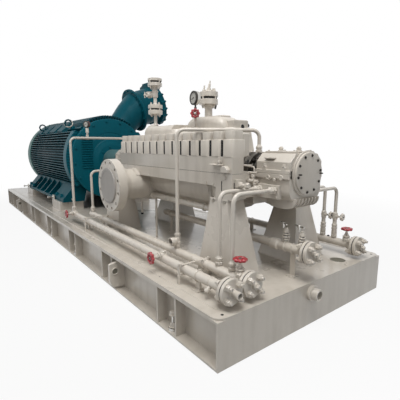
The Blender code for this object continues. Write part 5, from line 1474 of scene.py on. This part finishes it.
def dress_vents():
    nuts, stack = [], Shells()
    foot = at(1.205, 0, 1.0803)
    up = Vector((0, 0, 1))
    stack.lathe(foot, up, [(-0.012, 0.0270), (0.004, 0.0200), (0.016, 0.0170), (0.086, 0.0170), (0.096, 0.0260),
                           (0.104, 0.0360)], 32)
    flange_pair(stack, foot, 0.0740, 0.103, 0.145, 0.161, 0.198, nuts, 4, 0.024)
    stack.lathe(foot + up * 0.196, up, [(0, 0.0400), (0.012, 0.0240), (0.024, 0.0175), (0.076, 0.0175), (0.080, 0.0270),
                                        (0.092, 0.0290), (0.128, 0.0290), (0.134, 0.0340), (0.146, 0.0340),
                                        (0.150, 0.0260), (0.176, 0.0270), (0.192, 0.0420)], 36)
    flange_pair(stack, foot, 0.0740, 0.386, 0.421, 0.438, 0.4650, nuts, 4, 0.022, capped=True)
    # Isolating valve on the side of the stack, with its bonnet, yoke and bare stem end.
    side = Vector((-0.62, -0.50, 0)).normalized()
    c = foot + up * 0.306
    stack.lathe(c, side, [(0, 0.0240), (0.040, 0.0240), (0.042, 0.0330), (0.054, 0.0330), (0.056, 0.0300),
                          (0.060, 0.0330), (0.072, 0.0330), (0.074, 0.0200), (0.092, 0.0180), (0.094, 0.0110),
                          (0.124, 0.0100)], 32)
    nuts += [(c + side * 0.072 + (side.cross(up) * math.cos(a) + up * math.sin(a)) * 0.024, side)
             for a in (0.785, 2.356, 3.927, 5.498)]
    stack.rod(c + side * 0.116 - up * 0.030, c + side * 0.116 + up * 0.030, 0.0058, 14)
    stack.made("suction_vent_stack", "tube", "gasket", "bolt", stands_for=["vent_stack_suction"],
               slot="painted_white")

    low = Shells()
    foot = at(2.1000, 0, 1.0943)
    low.lathe(foot, up, [(0, 0.0400), (0.008, 0.0330), (0.070, 0.0320), (0.088, 0.0420), (0.105, 0.0540)], 36)
    flange_pair(low, foot, 0.0800, 0.104, 0.148, 0.167, 0.208, nuts, 4, 0.026)
    low.lathe(foot + up * 0.206, up, [(0, 0.0500), (0.006, 0.0480), (0.010, 0.0300), (0.020, 0.0280), (0.022, 0.0180)],
              36)
    lean = Vector((0.10, 0.13, 1)).normalized()
    low.lathe(foot + up * 0.224, lean, [(0, 0.0180), (0.016, 0.0170), (0.018, 0.0115), (0.050, 0.0105), (0.053, 0.0065),
                                        (0.078, 0.0050)], 24)
    for way, high in ((Vector((-0.61, -0.79, 0)), 0.262), (Vector((0.61, 0.79, 0)), 0.238)):
        low.rod(foot + up * 0.206 + way * 0.036, foot + up * high + way * 0.036, 0.0062, 14)
        low.hexagon(foot + up * 0.208 + way * 0.036, up, 0.0125, 0.012)
    # Capped drain nib under the lower flange.
    nib = foot + Vector((0.046, 0.036, 0.102))
    low.lathe(nib, -up, [(0, 0.0120), (0.020, 0.0120), (0.022, 0.0080), (0.034, 0.0070)], 20, slot=2)
    low.made("crossover_vent_stack", "tube", "gasket", "bolt", stands_for=["vent_stack_crossover"],
             slot="painted_white")
    fasteners("vent_stud_nuts", nuts, 0.020, "tube", height=0.016, stud=0.008, seed=2)


def dress_pedestals():
    for end in ("de", "nde"):
        for side in ("near", "far"):
            coat(f"pedestal_{end}_{side}", "plate")


# Operators


class PumpStep(bpy.types.Operator):
    """Makes one group of pieces and stops with an error if it can't."""
    bl_idname = "pump.step"
    bl_label = "Pump step"

    def execute(self, context):
        self.build(context.scene.pump_sizes)
        return {'FINISHED'}


class PUMP_OT_stage(PumpStep):
    """Lays the floor, the soft light and the camera"""
    bl_idname = "pump.stage"
    bl_label = "Stage"

    def build(self, sizes):
        lay_stage()


class PUMP_OT_skid(PumpStep):
    """Dresses the skid, its deck, levelling screws and drain"""
    bl_idname = "pump.skid"
    bl_label = "Skid"

    def build(self, sizes):
        dress_skid()
        dress_pedestals()


class PUMP_OT_motor(PumpStep):
    """Dresses the motor, its cowl, feet and terminal box"""
    bl_idname = "pump.motor"
    bl_label = "Motor"

    def build(self, sizes):
        dress_motor()


class PUMP_OT_coupling(PumpStep):
    """Dresses the coupling guard and the rotor"""
    bl_idname = "pump.coupling"
    bl_label = "Coupling guard"

    def build(self, sizes):
        dress_coupling()


class PUMP_OT_casing(PumpStep):
    """Dresses the casing halves, stud columns, nozzles and feet"""
    bl_idname = "pump.casing"
    bl_label = "Casing"

    def build(self, sizes):
        dress_casing(sizes)


class PUMP_OT_bearings(PumpStep):
    """Dresses the bearing housings and the seal glands"""
    bl_idname = "pump.bearings"
    bl_label = "Bearings and glands"

    def build(self, sizes):
        dress_bearings(sizes)
        dress_glands()


class PUMP_OT_pipes(PumpStep):
    """Dresses the headers, small pipes, valves and handwheels"""
    bl_idname = "pump.pipes"
    bl_label = "Pipework and valves"

    def build(self, sizes):
        dress_pipes(sizes)


class PUMP_OT_fittings(PumpStep):
    """Dresses the gauges and the vent stacks"""
    bl_idname = "pump.fittings"
    bl_label = "Gauges and vents"

    def build(self, sizes):
        dress_gauges()
        dress_vents()


steps = (PUMP_OT_stage, PUMP_OT_skid, PUMP_OT_motor, PUMP_OT_coupling, PUMP_OT_casing, PUMP_OT_bearings,
         PUMP_OT_pipes, PUMP_OT_fittings)


class PUMP_PT_looks(bpy.types.Panel):
    """Lists the finishes, the sizes and the steps"""
    bl_label = "Pump looks"
    bl_space_type = 'VIEW_3D'
    bl_region_type = 'UI'
    bl_category = "Pump"

    def draw(self, context):
        for group in (context.scene.pump_finishes, context.scene.pump_sizes):
            box = self.layout.box()
            for key in group.bl_rna.properties.keys():
                if key not in ("rna_type", "name"):
                    box.prop(group, key)
        for step in steps:
            self.layout.operator(step.bl_idname)


classes = (PumpFinishes, PumpSizes) + steps + (PUMP_PT_looks,)


def register():
    for each in classes:
        bpy.utils.register_class(each)
    bpy.types.Scene.pump_finishes = PointerProperty(type=PumpFinishes)
    bpy.types.Scene.pump_sizes = PointerProperty(type=PumpSizes)


def unregister():
    del bpy.types.Scene.pump_sizes
    del bpy.types.Scene.pump_finishes
    for each in reversed(classes):
        bpy.utils.unregister_class(each)


def main():
    register()
    mix_finishes(bpy.context.scene.pump_finishes)
    trees["fasteners"], trees["repeats"] = fastener_tree(), repeat_tree()
    for step in steps:
        group, call = step.bl_idname.split(".")
        getattr(getattr(bpy.ops, group), call)()


if __name__ == "__main__":
    main()
